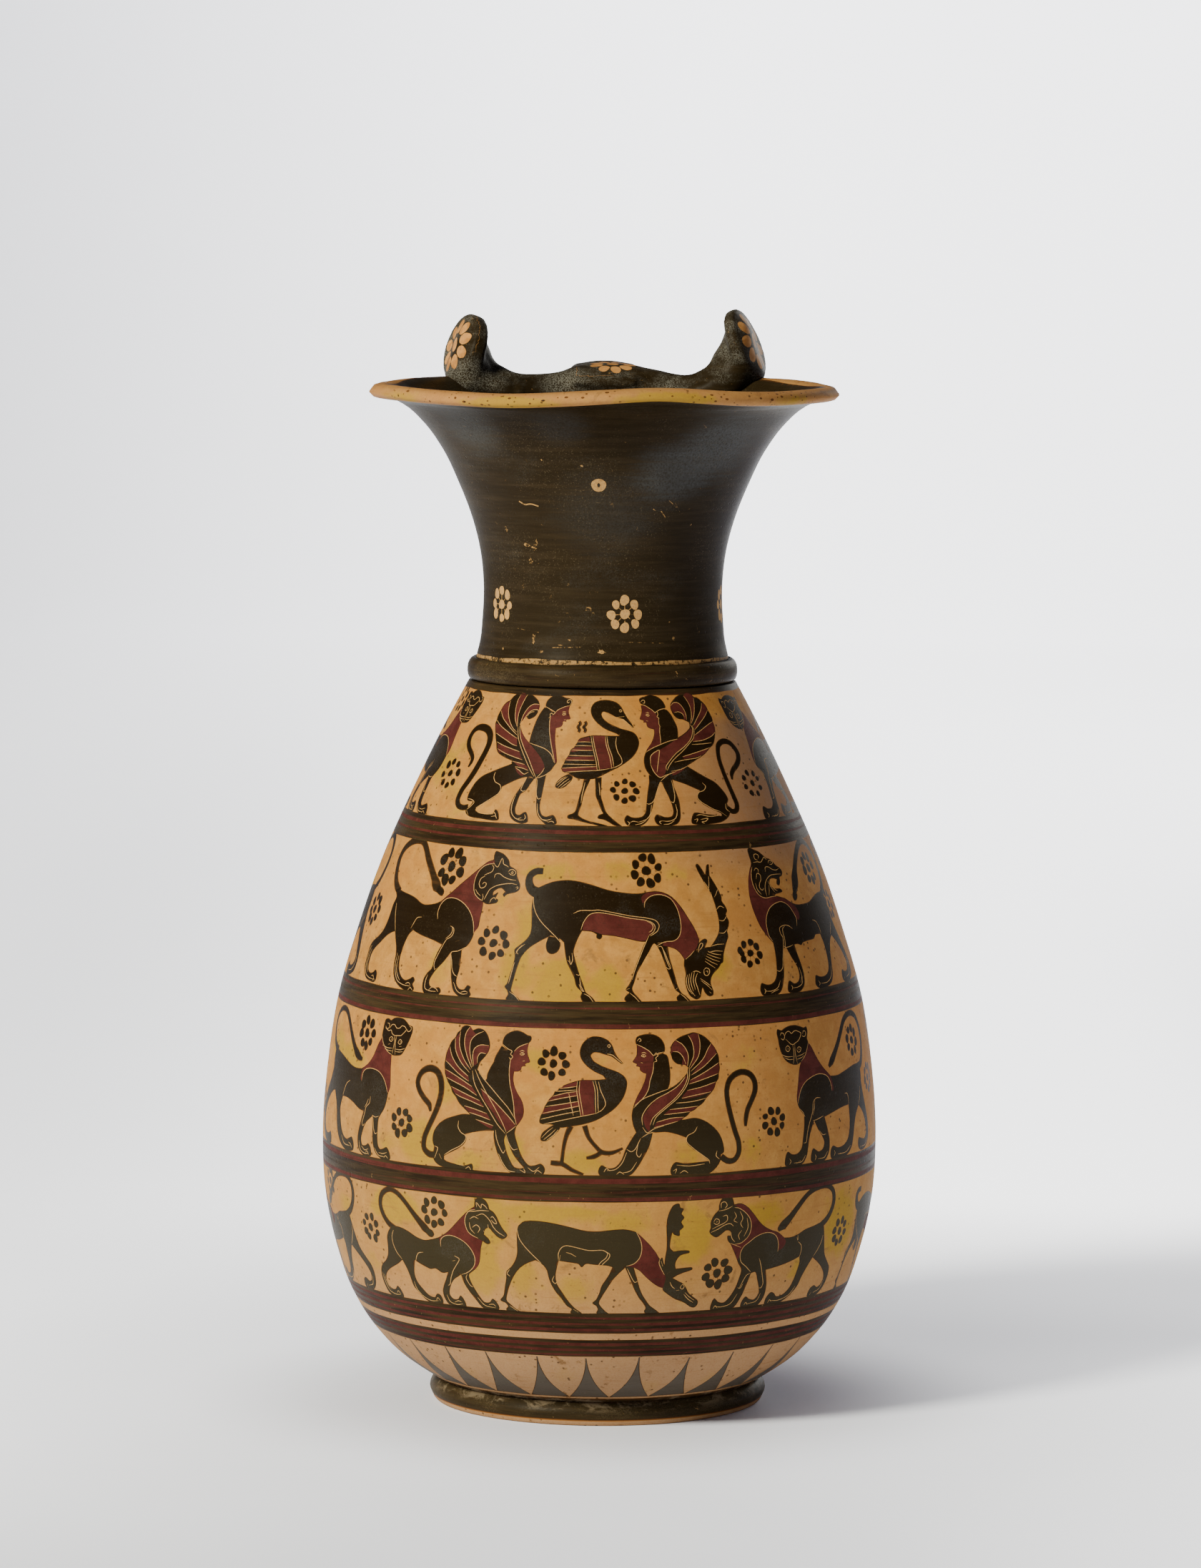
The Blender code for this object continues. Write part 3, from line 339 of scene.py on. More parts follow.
fig("swan_3", "3b",
  fills=[
    "137,143! 112,116 99,92 91,70 74,50 48,38 20,34 0,38 -28,60 -41,92 -37,120 -15,150 22,176 56,192 64,206! 20,210 -40,212 -80,224 -106,234! -112,242 -124,246! -130,256 -140,258! -146,272 -152,280! -164,292 -168,300! -174,310 -180,320! -186,340 -198,364 -199,386 -184,391! -160,390 -138,393! -118,402 -68,396 -18,386 24,372 64,350 100,324 132,286 147,250 151,216 140,195 115,178 80,165 42,150 12,130 3,110 15,98 36,98 60,105 86,112 106,125 130,143",
    "-193,456 -189,430 -168,410 -138,393 -116,399 -138,432 -172,458",
  ],
  strokes=[("-74,396 -92,440 -102,490 -108,548", "18 12 10 10", .5), ("-152,546 -130,548 -106,550 -70,572 -22,592", "14 16 14 12 8", .5), ("-18,394 -2,440 28,478 52,500 92,502 134,484", "16 12 10 14 12 6", .5), ("52,500 20,518 -10,524", "12 14 8", .5)],
  reds=["-38,213! 8,211 18,240 18,300 22,344! -10,352 -34,356! -42,300 -48,250", "-108,236! -76,224 -52,216! -54,234 -90,242 -120,248", "-150,278! -100,264 -50,254! -46,272 -100,284 -168,298", "-184,328! -120,310 -44,296! -40,314 -110,332 -192,350"],
  incs=["-50,214 -52,256 -44,300 -34,356", "-40,213 -42,256 -34,300 -24,356", "12,212 22,250 24,300 26,344", "22,212 32,250 34,300 36,340", "36,216 44,250 62,290 64,310 50,330 26,344", "-184,391 -120,376 -60,362 26,344",
    "-122,246 -90,242 -52,236", "-138,258 -96,254 -50,250", "-150,278 -100,264 -48,256", "-168,298 -110,284 -46,272", "-178,320 -120,310 -44,296", "-190,348 -120,332 -40,314", "-196,372 -120,352 -36,334", "-84,264 -76,300 -64,354", "-190,446 -166,420 -146,404", "-182,454 -156,432 -134,410", "-170,456 -144,436 -124,412", "72,72 78,78 84,72 78,66 72,72", "70,104 92,108 112,124 134,142"],
  clays=[])
fig("sphinx_l3", "3b",
  fills=[
    "191,62 194,38 214,29 240,25 270,29 296,45 311,74 308,98 286,104 266,114! 246,92 220,76",
    "194,66! 195,92 193,110 185,124 177,136 187,141 194,146 190,153 198,154 206,158 206,168 216,178 232,184! 228,206 214,240 195,274 181,306 177,322! 171,352 177,392 190,422 208,444! 230,440 252,420 300,400 280,340 320,262 320,246! 327,228 331,190 328,150 320,114 302,104! 270,112 240,90",
    "388,374! 432,369 476,384 511,410 536,440 551,480 553,512 540,522! 540,540 521,572 482,598 400,600 334,597 328,574 346,546 382,551 442,549 490,546! 462,520 420,492 396,468 394,446! 352,430 310,420 252,418 250,400 320,380",
    "188,420! 165,456 145,492 130,532 105,561 76,566 50,554 38,580 50,598 112,599 152,582 176,542 192,502 206,466 210,440!",
    "206,442! 198,480 185,514 174,546 150,576 124,574 102,592 162,593 192,562 216,522 238,480 254,424!",
    "410,164! 396,152 384,151 360,146 344,130 337,106! 340,76 356,55 380,40 412,30! 440,24 462,30! 484,40 502,54 516,70! 530,88 538,104! 546,124 546,150! 548,172 542,194! 540,214 528,228! 520,250 506,268 482,290! 466,310 446,322! 432,334 412,342! 400,356 386,364! 372,374 358,380! 330,394 300,404 256,416! 236,424 214,408 204,372 218,332 240,300 280,270 322,250 352,234 382,210 404,186",
  ],
  strokes=[("542,530 572,550 600,548 620,522 622,480 606,430 590,370 578,310 576,262 592,222 622,200 656,194 690,206 710,236 710,272 690,312 668,350 658,390 656,414", "18 18 16 16 16 16 16 16 16 18 18 18 18 18 18 16 16 14 8", .3)],
  reds=[
    "195,68! 220,78 246,94 264,114! 260,150 256,180 243,220 236,250 216,284 180,312! 181,306 195,274 214,240 228,206 232,184! 216,178 206,168 206,158 198,154 190,153 194,146 187,141 177,136 185,124 194,110 196,92",
    "338,106! 342,76 358,54! 390,72 411,112 404,158! 384,150 388,120 368,100 346,98", "416,36! 440,26 461,31! 466,72 456,120 418,168! 436,112 431,62", "517,72! 532,92 537,112! 480,160 422,194! 476,132 500,92", "544,152! 546,174 540,194! 470,215 412,230! 416,216 480,187", "527,228! 518,252 504,266! 440,284 378,288 402,256! 460,246", "446,322! 412,342! 362,346 304,350 326,331! 390,326", "386,364! 358,380! 310,392 262,402 270,382! 330,366",
    "226,402! 216,362 236,326 272,290 322,263 366,236 396,202 406,190! 398,226 366,270 310,316 262,356 246,386 240,418",
  ],
  incs=[
    "194,66 220,78 246,94 264,112 274,102 282,112 272,122 276,134 264,138", "266,112 286,102 308,98", "196,52 206,42 212,50 204,56", "264,138 258,180 246,214 240,246 220,280 182,312", "178,322 210,290 262,268 322,248", "214,392 212,358 232,322 270,288 322,262 366,234 396,200",
    "404,166 404,206 388,242 352,284 302,324 256,364 244,392", "414,166 412,206 398,240 362,284 312,324 268,362 256,392", "214,400 232,422 262,406 300,396", "210,442 236,426 256,420",
    "406,160 411,112 390,72 358,52", "400,150 388,120 368,100 346,98", "412,166 436,112 431,62 415,34", "416,170 456,120 466,72 461,31", "420,180 476,132 500,92 517,70", "422,195 480,161 538,112", "416,216 480,186 546,150", "411,231 470,215 540,194", "402,256 460,246 527,227", "378,287 440,276 505,266", "352,306 420,302 482,291", "326,331 390,326 446,321", "302,351 362,346 412,342", "270,381 330,366 386,363", "260,402 310,391 358,379",
    "206,444 182,490 168,498 150,488", "150,500 130,546 104,570 72,574", "60,580 70,566 84,576", "196,462 190,510 200,520 210,506", "190,540 164,576 130,584", "110,590 122,580 140,590", "440,404 428,424 398,440 394,462 418,488 460,520 488,542 492,556", "352,556 400,562 470,556", "338,580 352,572 346,590", "366,590 384,580 400,590", "524,506 520,526 534,540"],
  clays=[])
fig("panther_l3", "3b",
  fills=[
    "852,76 848,50 854,36 876,42 892,35 922,27 960,27 992,35 1012,42 1029,39 1033,60 1024,86 1029,102 1016,132 1000,156 975,175 945,186 910,180 880,161 862,131 854,102",
    "1028,104! 1046,122 1066,156 1092,192 1122,222 1152,246 1164,256! 1220,259 1280,250 1342,240 1400,234 1444,240 1462,270 1458,312! 1466,352 1482,400 1502,450 1518,500 1514,552 1482,582 1430,594 1392,584 1380,562 1390,540 1420,546 1460,551 1485,530 1480,490 1460,452 1430,422 1402,404! 1370,432 1346,472 1330,522 1310,566 1270,592 1200,599 1140,592 1134,566 1150,544 1190,555 1240,550 1275,530 1294,492 1300,442 1298,388! 1240,391 1170,402 1098,416! 1102,432 1116,472 1126,512 1121,562 1096,592 1050,599 1004,588 1004,560 1016,539 1050,555 1080,546 1090,520 1075,490 1050,460 1028,424! 1015,442 995,482 985,522 975,562 950,592 900,599 854,592 854,560 866,538 890,550 920,550 945,530 955,490 965,442 968,396! 946,372 932,340 932,314! 942,274 952,232 962,198 974,176!",
  ],
  strokes=[("1424,250 1478,238 1510,192 1524,132 1514,82 1484,42 1440,24 1390,24 1340,42 1300,77 1260,121 1220,161 1184,196 1158,216", "24 22 20 20 20 20 18 18 18 18 18 20 26 10", .2)],
  reds=["974,176! 962,198 952,232 942,274 932,314 934,344! 946,314 962,285 992,260 1032,245 1072,238 1112,242 1142,256 1160,282 1166,316! 1178,318 1176,290 1164,258 1152,246 1122,222 1092,192 1066,156 1046,122 1028,104! 1016,132 1000,156"],
  incs=["934,348 946,314 962,285 992,260 1032,245 1072,238 1112,242 1142,256 1160,282 1166,318", "974,176 1000,156 1016,132 1030,104", "1078,336 1050,334 1030,348 1022,382 1014,402 998,430 982,470 972,508 958,510", "1040,342 1034,372 1022,402", "942,366 962,386 972,404", "1020,424 1046,422 1090,412", "1060,470 1080,488 1104,488", "1270,340 1290,342 1300,362 1298,388", "1436,330 1424,372 1402,402", "968,560 946,584 900,586", "876,590 884,578 876,566", "916,590 940,578", "1112,560 1090,582 1046,584", "1026,588 1034,576 1028,564", "1300,560 1262,580 1190,582", "1160,586 1168,574 1162,562", "1500,556 1470,578 1420,580", "1406,586 1410,574",
    "866,62 872,52 884,54 890,68 880,80 868,74", "1000,66 1008,54 1020,58 1018,72 1006,78 996,72", "890,66 900,52 918,48 932,58 944,52 960,48 976,54 990,62 980,80 966,92 950,98 934,104 920,100 906,88 894,78", "932,104 934,140 926,182", "944,104 942,140 950,184", "890,112 902,106 914,118 902,130 890,124 890,112", "900,116 905,118 901,122", "954,124 966,116 980,122 972,136 958,136 954,124", "964,124 970,126 966,130", "862,138 890,150 926,152", "876,152 900,162 926,164", "950,154 980,150 1006,142", "950,166 974,162 996,154"],
  clays=[])

# ------------------------------------------------------------------ fourth frieze
fig("lion_r4", "4a",
  fills=[
    "1034,42! 1038,14 1054,4 1080,12 1094,32 1098,48 1116,60 1130,80 1141,106 1156,131 1171,152 1156,168 1136,165 1122,154! 1110,142 1094,126 1078,132 1070,156! 1090,174 1096,190 1084,195 1062,184! 1052,215 1046,250 1036,286 1016,310 1000,322! 984,336 986,362 1000,396 1020,431 1040,456 1066,455 1081,438 1096,450 1106,480 1080,494 1030,482 1000,446 974,411 955,376 946,340! 905,366 880,401 870,436 885,456 910,455 926,438 942,460 944,486 920,494 870,492 844,466 837,430 848,400 866,370 882,336! 850,341 820,326 790,331 770,325 740,315 710,302! 697,340 692,371 700,401 725,431 755,456 785,460 801,443 816,445 827,470 816,492 770,492 730,477 695,446 672,421 665,391 655,351 634,310! 610,326 570,346 530,366 500,391 490,416 495,441 516,456 541,455 561,438 576,450 587,480 570,494 520,492 484,477 467,446 461,410 469,374 490,349 520,329 545,299 555,259 560,219 578,190 600,172! 622,167 660,170 700,182 740,200 780,208 820,200 856,189! 892,168 920,145 950,115 980,85 1008,60",
  ],
  strokes=[("618,178 582,160 552,126 538,86 548,46 576,22 610,14 650,26 690,56 730,96 766,132 798,162 826,180", "22 20 18 18 18 18 16 16 16 16 18 22 28 10", .5)],
  reds=["1034,44! 1008,60 980,86 950,116 920,146 892,169 858,190! 862,222 866,196 882,181 911,173 951,181 986,201 1011,231 1021,261 1016,291 1000,312! 1016,310 1036,286 1046,250 1052,215 1062,184! 1040,174 1018,165 999,150 989,125 988,100 996,75 1012,58 1036,52"],
  incs=["1036,54 1012,60 996,77 988,102 990,126 1000,150 1020,165 1044,174", "862,226 866,196 882,181 911,173 951,181 986,201 1011,231 1021,261 1016,291 1000,312 975,330 948,340", "924,260 946,272 930,298 908,328 892,360 880,392 870,396", "912,284 926,280", "976,336 968,352 984,386 996,392", "606,186 592,212 592,246 606,280 632,308", "764,262 738,268 722,288 714,308", "472,388 476,430 494,466 530,478 566,476", "484,394 488,430 506,460", "680,400 686,430 716,462 760,478 800,474", "854,440 866,470 900,480 930,474", "890,470 910,462 926,466", "1010,436 1040,470 1090,478", "1060,466 1080,462 1092,472", "546,470 556,460 570,474", "790,472 800,460 812,474",
    "1044,44 1042,24 1052,34 1062,46 1066,30 1080,36 1090,48", "1000,66 1030,62 1060,56 1096,56", "1104,84 1110,78 1124,92 1128,106 1116,104 1106,92", "1040,80 1070,70 1100,96 1112,120 1130,140 1160,158", "1010,96 1030,84 1050,92", "1090,112 1094,140 1112,160 1120,166", "1070,140 1082,160 1096,176", "1020,130 1040,118 1054,132 1044,150", "1008,110 1012,136 1030,156"],
  clays=[])
fig("stag_4", "4b",
  fills=[
    "-282,110! -262,92 -242,87 -192,87 -132,95 -72,108 -12,122 40,124 90,118 140,115 176,122 190,128! 214,150 245,182 272,216 286,240! 300,256 318,300 322,340 312,372! 296,366 266,346 236,319 209,291 184,278! 190,300 200,330 210,365 225,400 245,430 260,450 286,470 312,494 254,492 239,476 245,461 234,440 214,415 194,380 179,345 165,310 150,278! 126,300 100,330 76,370 56,405 43,435 49,450 71,475 93,492 54,492 34,481 40,466 34,450 17,436 30,424 45,394 55,359 70,334 85,309 98,276! 80,269 30,265 -12,262 -28,276 -40,263 -80,256 -122,250! -130,280 -137,320 -132,355 -112,390 -87,430 -62,460 -30,487 -56,492 -78,481 -72,466 -93,450 -113,420 -133,395 -153,360 -163,330 -172,290 -196,262 -217,252! -252,266 -287,291 -317,331 -337,371 -352,411 -357,440 -342,456 -312,481 -285,494 -342,492 -363,481 -352,466 -362,451 -384,440 -368,420 -357,379 -347,340 -343,310 -322,289 -302,259 -292,229 -290,180 -289,140",
    "312,372! 316,344 314,314 322,306! 332,320 352,331 376,345 396,356 412,376 426,400 450,420 471,436 474,450 462,466 440,461 420,446 400,436 375,426 350,411 330,396 314,382",
    "284,236! 290,252 299,238 306,262 320,290 326,312 316,322 296,294 281,262!",
    "316,330! 314,300 312,250 317,200 315,150 312,102 315,70 325,40 340,18 360,14 366,30 379,36 371,55 382,71 371,90 381,110 366,125 366,146 346,141 335,132! 330,160 330,198 346,214! 375,211 411,214 413,220 376,230 360,250 355,272 360,289! 395,287 430,287 431,294 396,306 366,318 348,330 340,340",
  ],
  strokes=[],
  reds=["190,124! 214,150 245,182 272,216 284,238! 292,276 312,306 320,330 312,372! 296,366 266,346 236,319 209,291 184,278 158,274! 184,262 206,238 214,208 212,176 202,148"],
  incs=["190,126 202,148 212,176 214,208 206,238 184,262 154,272", "-288,126 -282,160 -264,190 -236,222 -206,252 -194,264", "-122,250 -122,222 -110,196 -92,186 -60,190 0,204 60,204 76,216 72,234 50,254 36,276 26,300", "-118,250 -114,226", "70,208 86,222 80,240 58,262 42,286", "158,282 172,312 192,344 204,336", "-330,300 -342,318 -330,330", "-142,318 -150,340 -138,352 -128,340", "-66,466 -44,480", "-346,462 -310,486", "290,244 288,262 300,290 314,314", "296,252 304,276", "390,364 398,360 404,370 398,380 388,376 390,364", "410,396 430,416 456,434", "406,404 426,426 452,444", "370,386 384,384", "340,346 350,366 364,378", "-90,214 -70,220 -50,232"],
  clays=[])
fig("lion_l4", "4b",
  fills=[
    "598,30! 586,0 560,-6 540,6 530,32 530,48 514,64 504,80 497,100 499,120 494,136 505,151 526,161 546,150 566,135 588,140 592,160! 576,160 580,180 592,192! 606,216 620,242 636,272 642,284! 660,312 655,352 645,392 625,430 600,455 570,450 550,433 538,470 545,492 600,495 652,482 682,432 697,382 710,332! 732,328 755,372 770,406 774,430 755,455 726,450 706,438 689,465 694,490 740,495 782,482 805,446 807,400 797,360 786,324! 830,318 890,308 940,296 972,286! 980,312 975,352 965,396 950,426 920,450 880,455 861,438 841,433 820,460 824,492 870,492 922,482 972,452 1002,421 1016,381 1040,336 1064,302! 1105,326 1150,356 1186,391 1196,416 1185,441 1160,450 1131,438 1106,448 1098,480 1130,493 1182,482 1217,451 1230,410 1221,369 1190,339 1150,299 1130,250 1114,200 1100,160! 1080,155 1030,164 980,172 940,188 900,196 862,194! 822,166 790,155 750,135 720,110 690,75 660,45 628,28",
  ],
  strokes=[("1080,168 1122,142 1150,106 1160,66 1148,28 1112,4 1062,0 1012,8 970,28 920,72 882,110 852,136 824,156", "22 20 18 18 16 16 16 16 16 18 22 32 12", .25)],
  reds=["600,32! 630,30 660,46 690,76 720,111 750,136 790,156 822,167 860,192 874,212 862,236 838,246! 834,216 816,181 786,164 750,162 710,175 680,195 656,210! 642,240 636,270! 620,240 606,216 592,192! 620,198 641,195 657,185 676,165 684,130 676,96 651,66 620,46"],
  incs=["600,42 620,46 651,66 676,96 684,130 676,165 657,185 641,195 612,198", "836,250 834,216 816,181 786,164 750,162 710,175 680,195 656,212 644,240 652,276 680,300 708,326", "592,192 620,204 644,214", "664,396 690,340 706,332", "656,392 668,396 680,376", "742,270 756,300 774,350 786,386 780,404 768,404", "752,290 764,320", "948,220 970,238 976,262 972,290", "936,200 944,214 940,190", "1110,212 1106,240 1090,270 1066,300", "660,420 634,462 590,474 560,470", "552,480 560,466 572,478", "784,430 770,462 720,472", "706,476 714,464 724,476", "990,420 960,456 900,474 850,470", "838,480 846,466 858,476", "1204,420 1186,458 1140,472", "1118,480 1126,466", 
    "540,40 540,20 556,16 566,30 556,44", "530,52 560,48 590,36", "510,96 518,84 532,88 534,102 522,108 510,100", "520,94 526,96 522,100", "548,76 566,72 570,92 556,104 536,112 504,126", "500,140 530,128 560,112 584,108 600,120", "600,60 610,80 600,96 616,106", "626,60 640,90 632,112 644,130", "590,146 596,170 612,188", "660,90 668,130 652,168", "640,140 626,160 634,180"],
  clays=[])


# A plain archaic face on every sphinx: almond eye, brow and a small ear.
def plain_face(name, sheet, x, y, side, k):
    q = lambda pts: " ".join("%.1f,%.1f" % (x + side * a * k, y + b * k) for a, b in pts)
    add_lines(name, sheet, [
        q([(-11, 1), (-4, -5), (4, -5), (11, 0), (3, 5), (-5, 5), (-11, 1)]), q([(-1.5, -1), (1.5, -1.5), (2, 1.5), (-1, 2), (-1.5, -1)]),
        q([(-12, -10), (-2, -15), (10, -12)]), q([(4, 33), (10, 31), (15, 31)]),
    ])


plain_face("sphinx_r1", "1a", 1106, 136, 1, 1.15)
plain_face("sphinx_l1", "1b", 346, 140, -1, 1.15)
plain_face("sphinx_r3", "3a", 1234, 112, 1, .9)
plain_face("sphinx_l3", "3b", 222, 112, -1, .9)
add_lines("lion_r2", "2a", fills=["640,212 668,212 690,232 684,252 660,248 640,232"])
add_lines("lion_l2", "2b", fills=["1130,268 1142,246 1164,240 1174,258 1158,280 1136,284"])
add_lines("lion_r4", "4a", fills=["798,158 824,160 834,178 820,190 800,182"])
add_lines("lion_l4", "4b", fills=["820,148 836,126 858,128 858,146 838,160 824,160"])

# ---------------------------------------------------------------- wall profiles
BODY = [(7.3, 49.0), (14.3, 59.3), (22.4, 67.2), (32.6, 73.7), (45.9, 78.6), (61.2, 82.0), (81.6, 83.1), (102.0, 81.6), (122.4, 78.4), (142.8, 72.5), (163.2, 65.4), (183.6, 56.4), (204.0, 46.5), (216.4, 39.9)]
NECK = [(216.7, 37.9), (223.5, 37.6), (228.5, 36.5), (235.0, 35.9), (244.8, 35.6), (255.0, 36.6), (265.2, 39.2), (275.4, 43.2), (285.6, 48.2), (293.5, 54.0), (297.8, 58.6), (299.7, 61.6)]
LIP = [(299.7, 61.6), (300.0, 64.6), (300.4, 67.4), (301.1, 69.4), (302.2, 70.0), (303.5, 69.6), (304.4, 68.5), (304.8, 66.6), (304.6, 64.6), (303.9, 62.6), (302.4, 60.4), (300.4, 58.2), (297.6, 55.0)]


def smooth_profile(st):
    z, r = np.array(st).T
    n, m = len(z), np.zeros(len(z))
    for i in range(n):
        if i == 0:
            m[i] = (r[1] - r[0]) / (z[1] - z[0])
        elif i == n - 1:
            m[i] = (r[-1] - r[-2]) / (z[-1] - z[-2])
        else:
            h0, h1 = z[i] - z[i - 1], z[i + 1] - z[i]
            m[i] = ((r[i] - r[i - 1]) / h0 * h1 + (r[i + 1] - r[i]) / h1 * h0) / (h0 + h1)

    def ev(q):
        q = np.asarray(q, float)
        i = np.clip(np.searchsorted(z, q, side="right") - 1, 0, n - 2)
        h = z[i + 1] - z[i]
        t = (q - z[i]) / h
        return (2 * t ** 3 - 3 * t ** 2 + 1) * r[i] + (t ** 3 - 2 * t ** 2 + t) * h * m[i] + (-2 * t ** 3 + 3 * t ** 2) * r[i + 1] + (t ** 3 - t ** 2) * h * m[i + 1]
    return ev


r_body, r_neck = smooth_profile(BODY), smooth_profile(NECK)
RNG = np.random.default_rng(7)


class Wall:
    """A turned wall, known by the distance s along its profile."""

    def __init__(self, r, z, wob=0.0, wave=None):
        self.r, self.z = np.asarray(r, float), np.asarray(z, float)
        self.s = np.concatenate([[0], np.cumsum(np.hypot(np.diff(self.r), np.diff(self.z)))])
        self.top, self.wob, self.wave = self.s[-1], wob, wave
        dr, dz = np.gradient(self.r, self.s), np.gradient(self.z, self.s)
        L = np.hypot(dr, dz)
        self.dr, self.dz = dr / L, dz / L

    def at(self, phi, s):
        r, z = np.interp(s, self.s, self.r), np.interp(s, self.s, self.z)
        w = self.wob * np.sin(math.pi * np.clip(s / self.top, 0, 1)) * (np.sin(2 * phi + .6) + .5 * np.sin(3 * phi + z * .03))
        if self.wave is not None:
            z = z + self.wave(phi, s)
        return np.stack([(r + w) * np.sin(phi), -(r + w) * np.cos(phi), z], -1)

    def normal(self, phi, s):
        dr, dz = np.interp(s, self.s, self.dr), np.interp(s, self.s, self.dz)
        return np.stack([dz * np.sin(phi), -dz * np.cos(phi), -dr], -1)


def inside(poly, pts):
    """Winding test of many points against one polygon."""
    w = np.zeros(len(pts), int)
    x, y = pts[:, 0], pts[:, 1]
    a = poly
    b = np.roll(poly, -1, axis=0)
    for (x0, y0), (x1, y1) in zip(a, b):
        side = (x1 - x0) * (y - y0) - (x - x0) * (y1 - y0)
        w += ((y0 <= y) & (y1 > y) & (side > 0)).astype(int) - ((y0 > y) & (y1 <= y) & (side < 0)).astype(int)
    return w != 0


def inset(poly, d):
    """Points a little inside a closed outline."""
    area = .5 * np.sum(poly[:, 0] * np.roll(poly[:, 1], -1) - np.roll(poly[:, 0], -1) * poly[:, 1])
    t = np.roll(poly, -1, axis=0) - np.roll(poly, 1, axis=0)
    t /= np.maximum(np.linalg.norm(t, axis=1, keepdims=True), 1e-9)
    return poly + np.stack([-t[:, 1], t[:, 0]], 1) * d * (1 if area > 0 else -1)


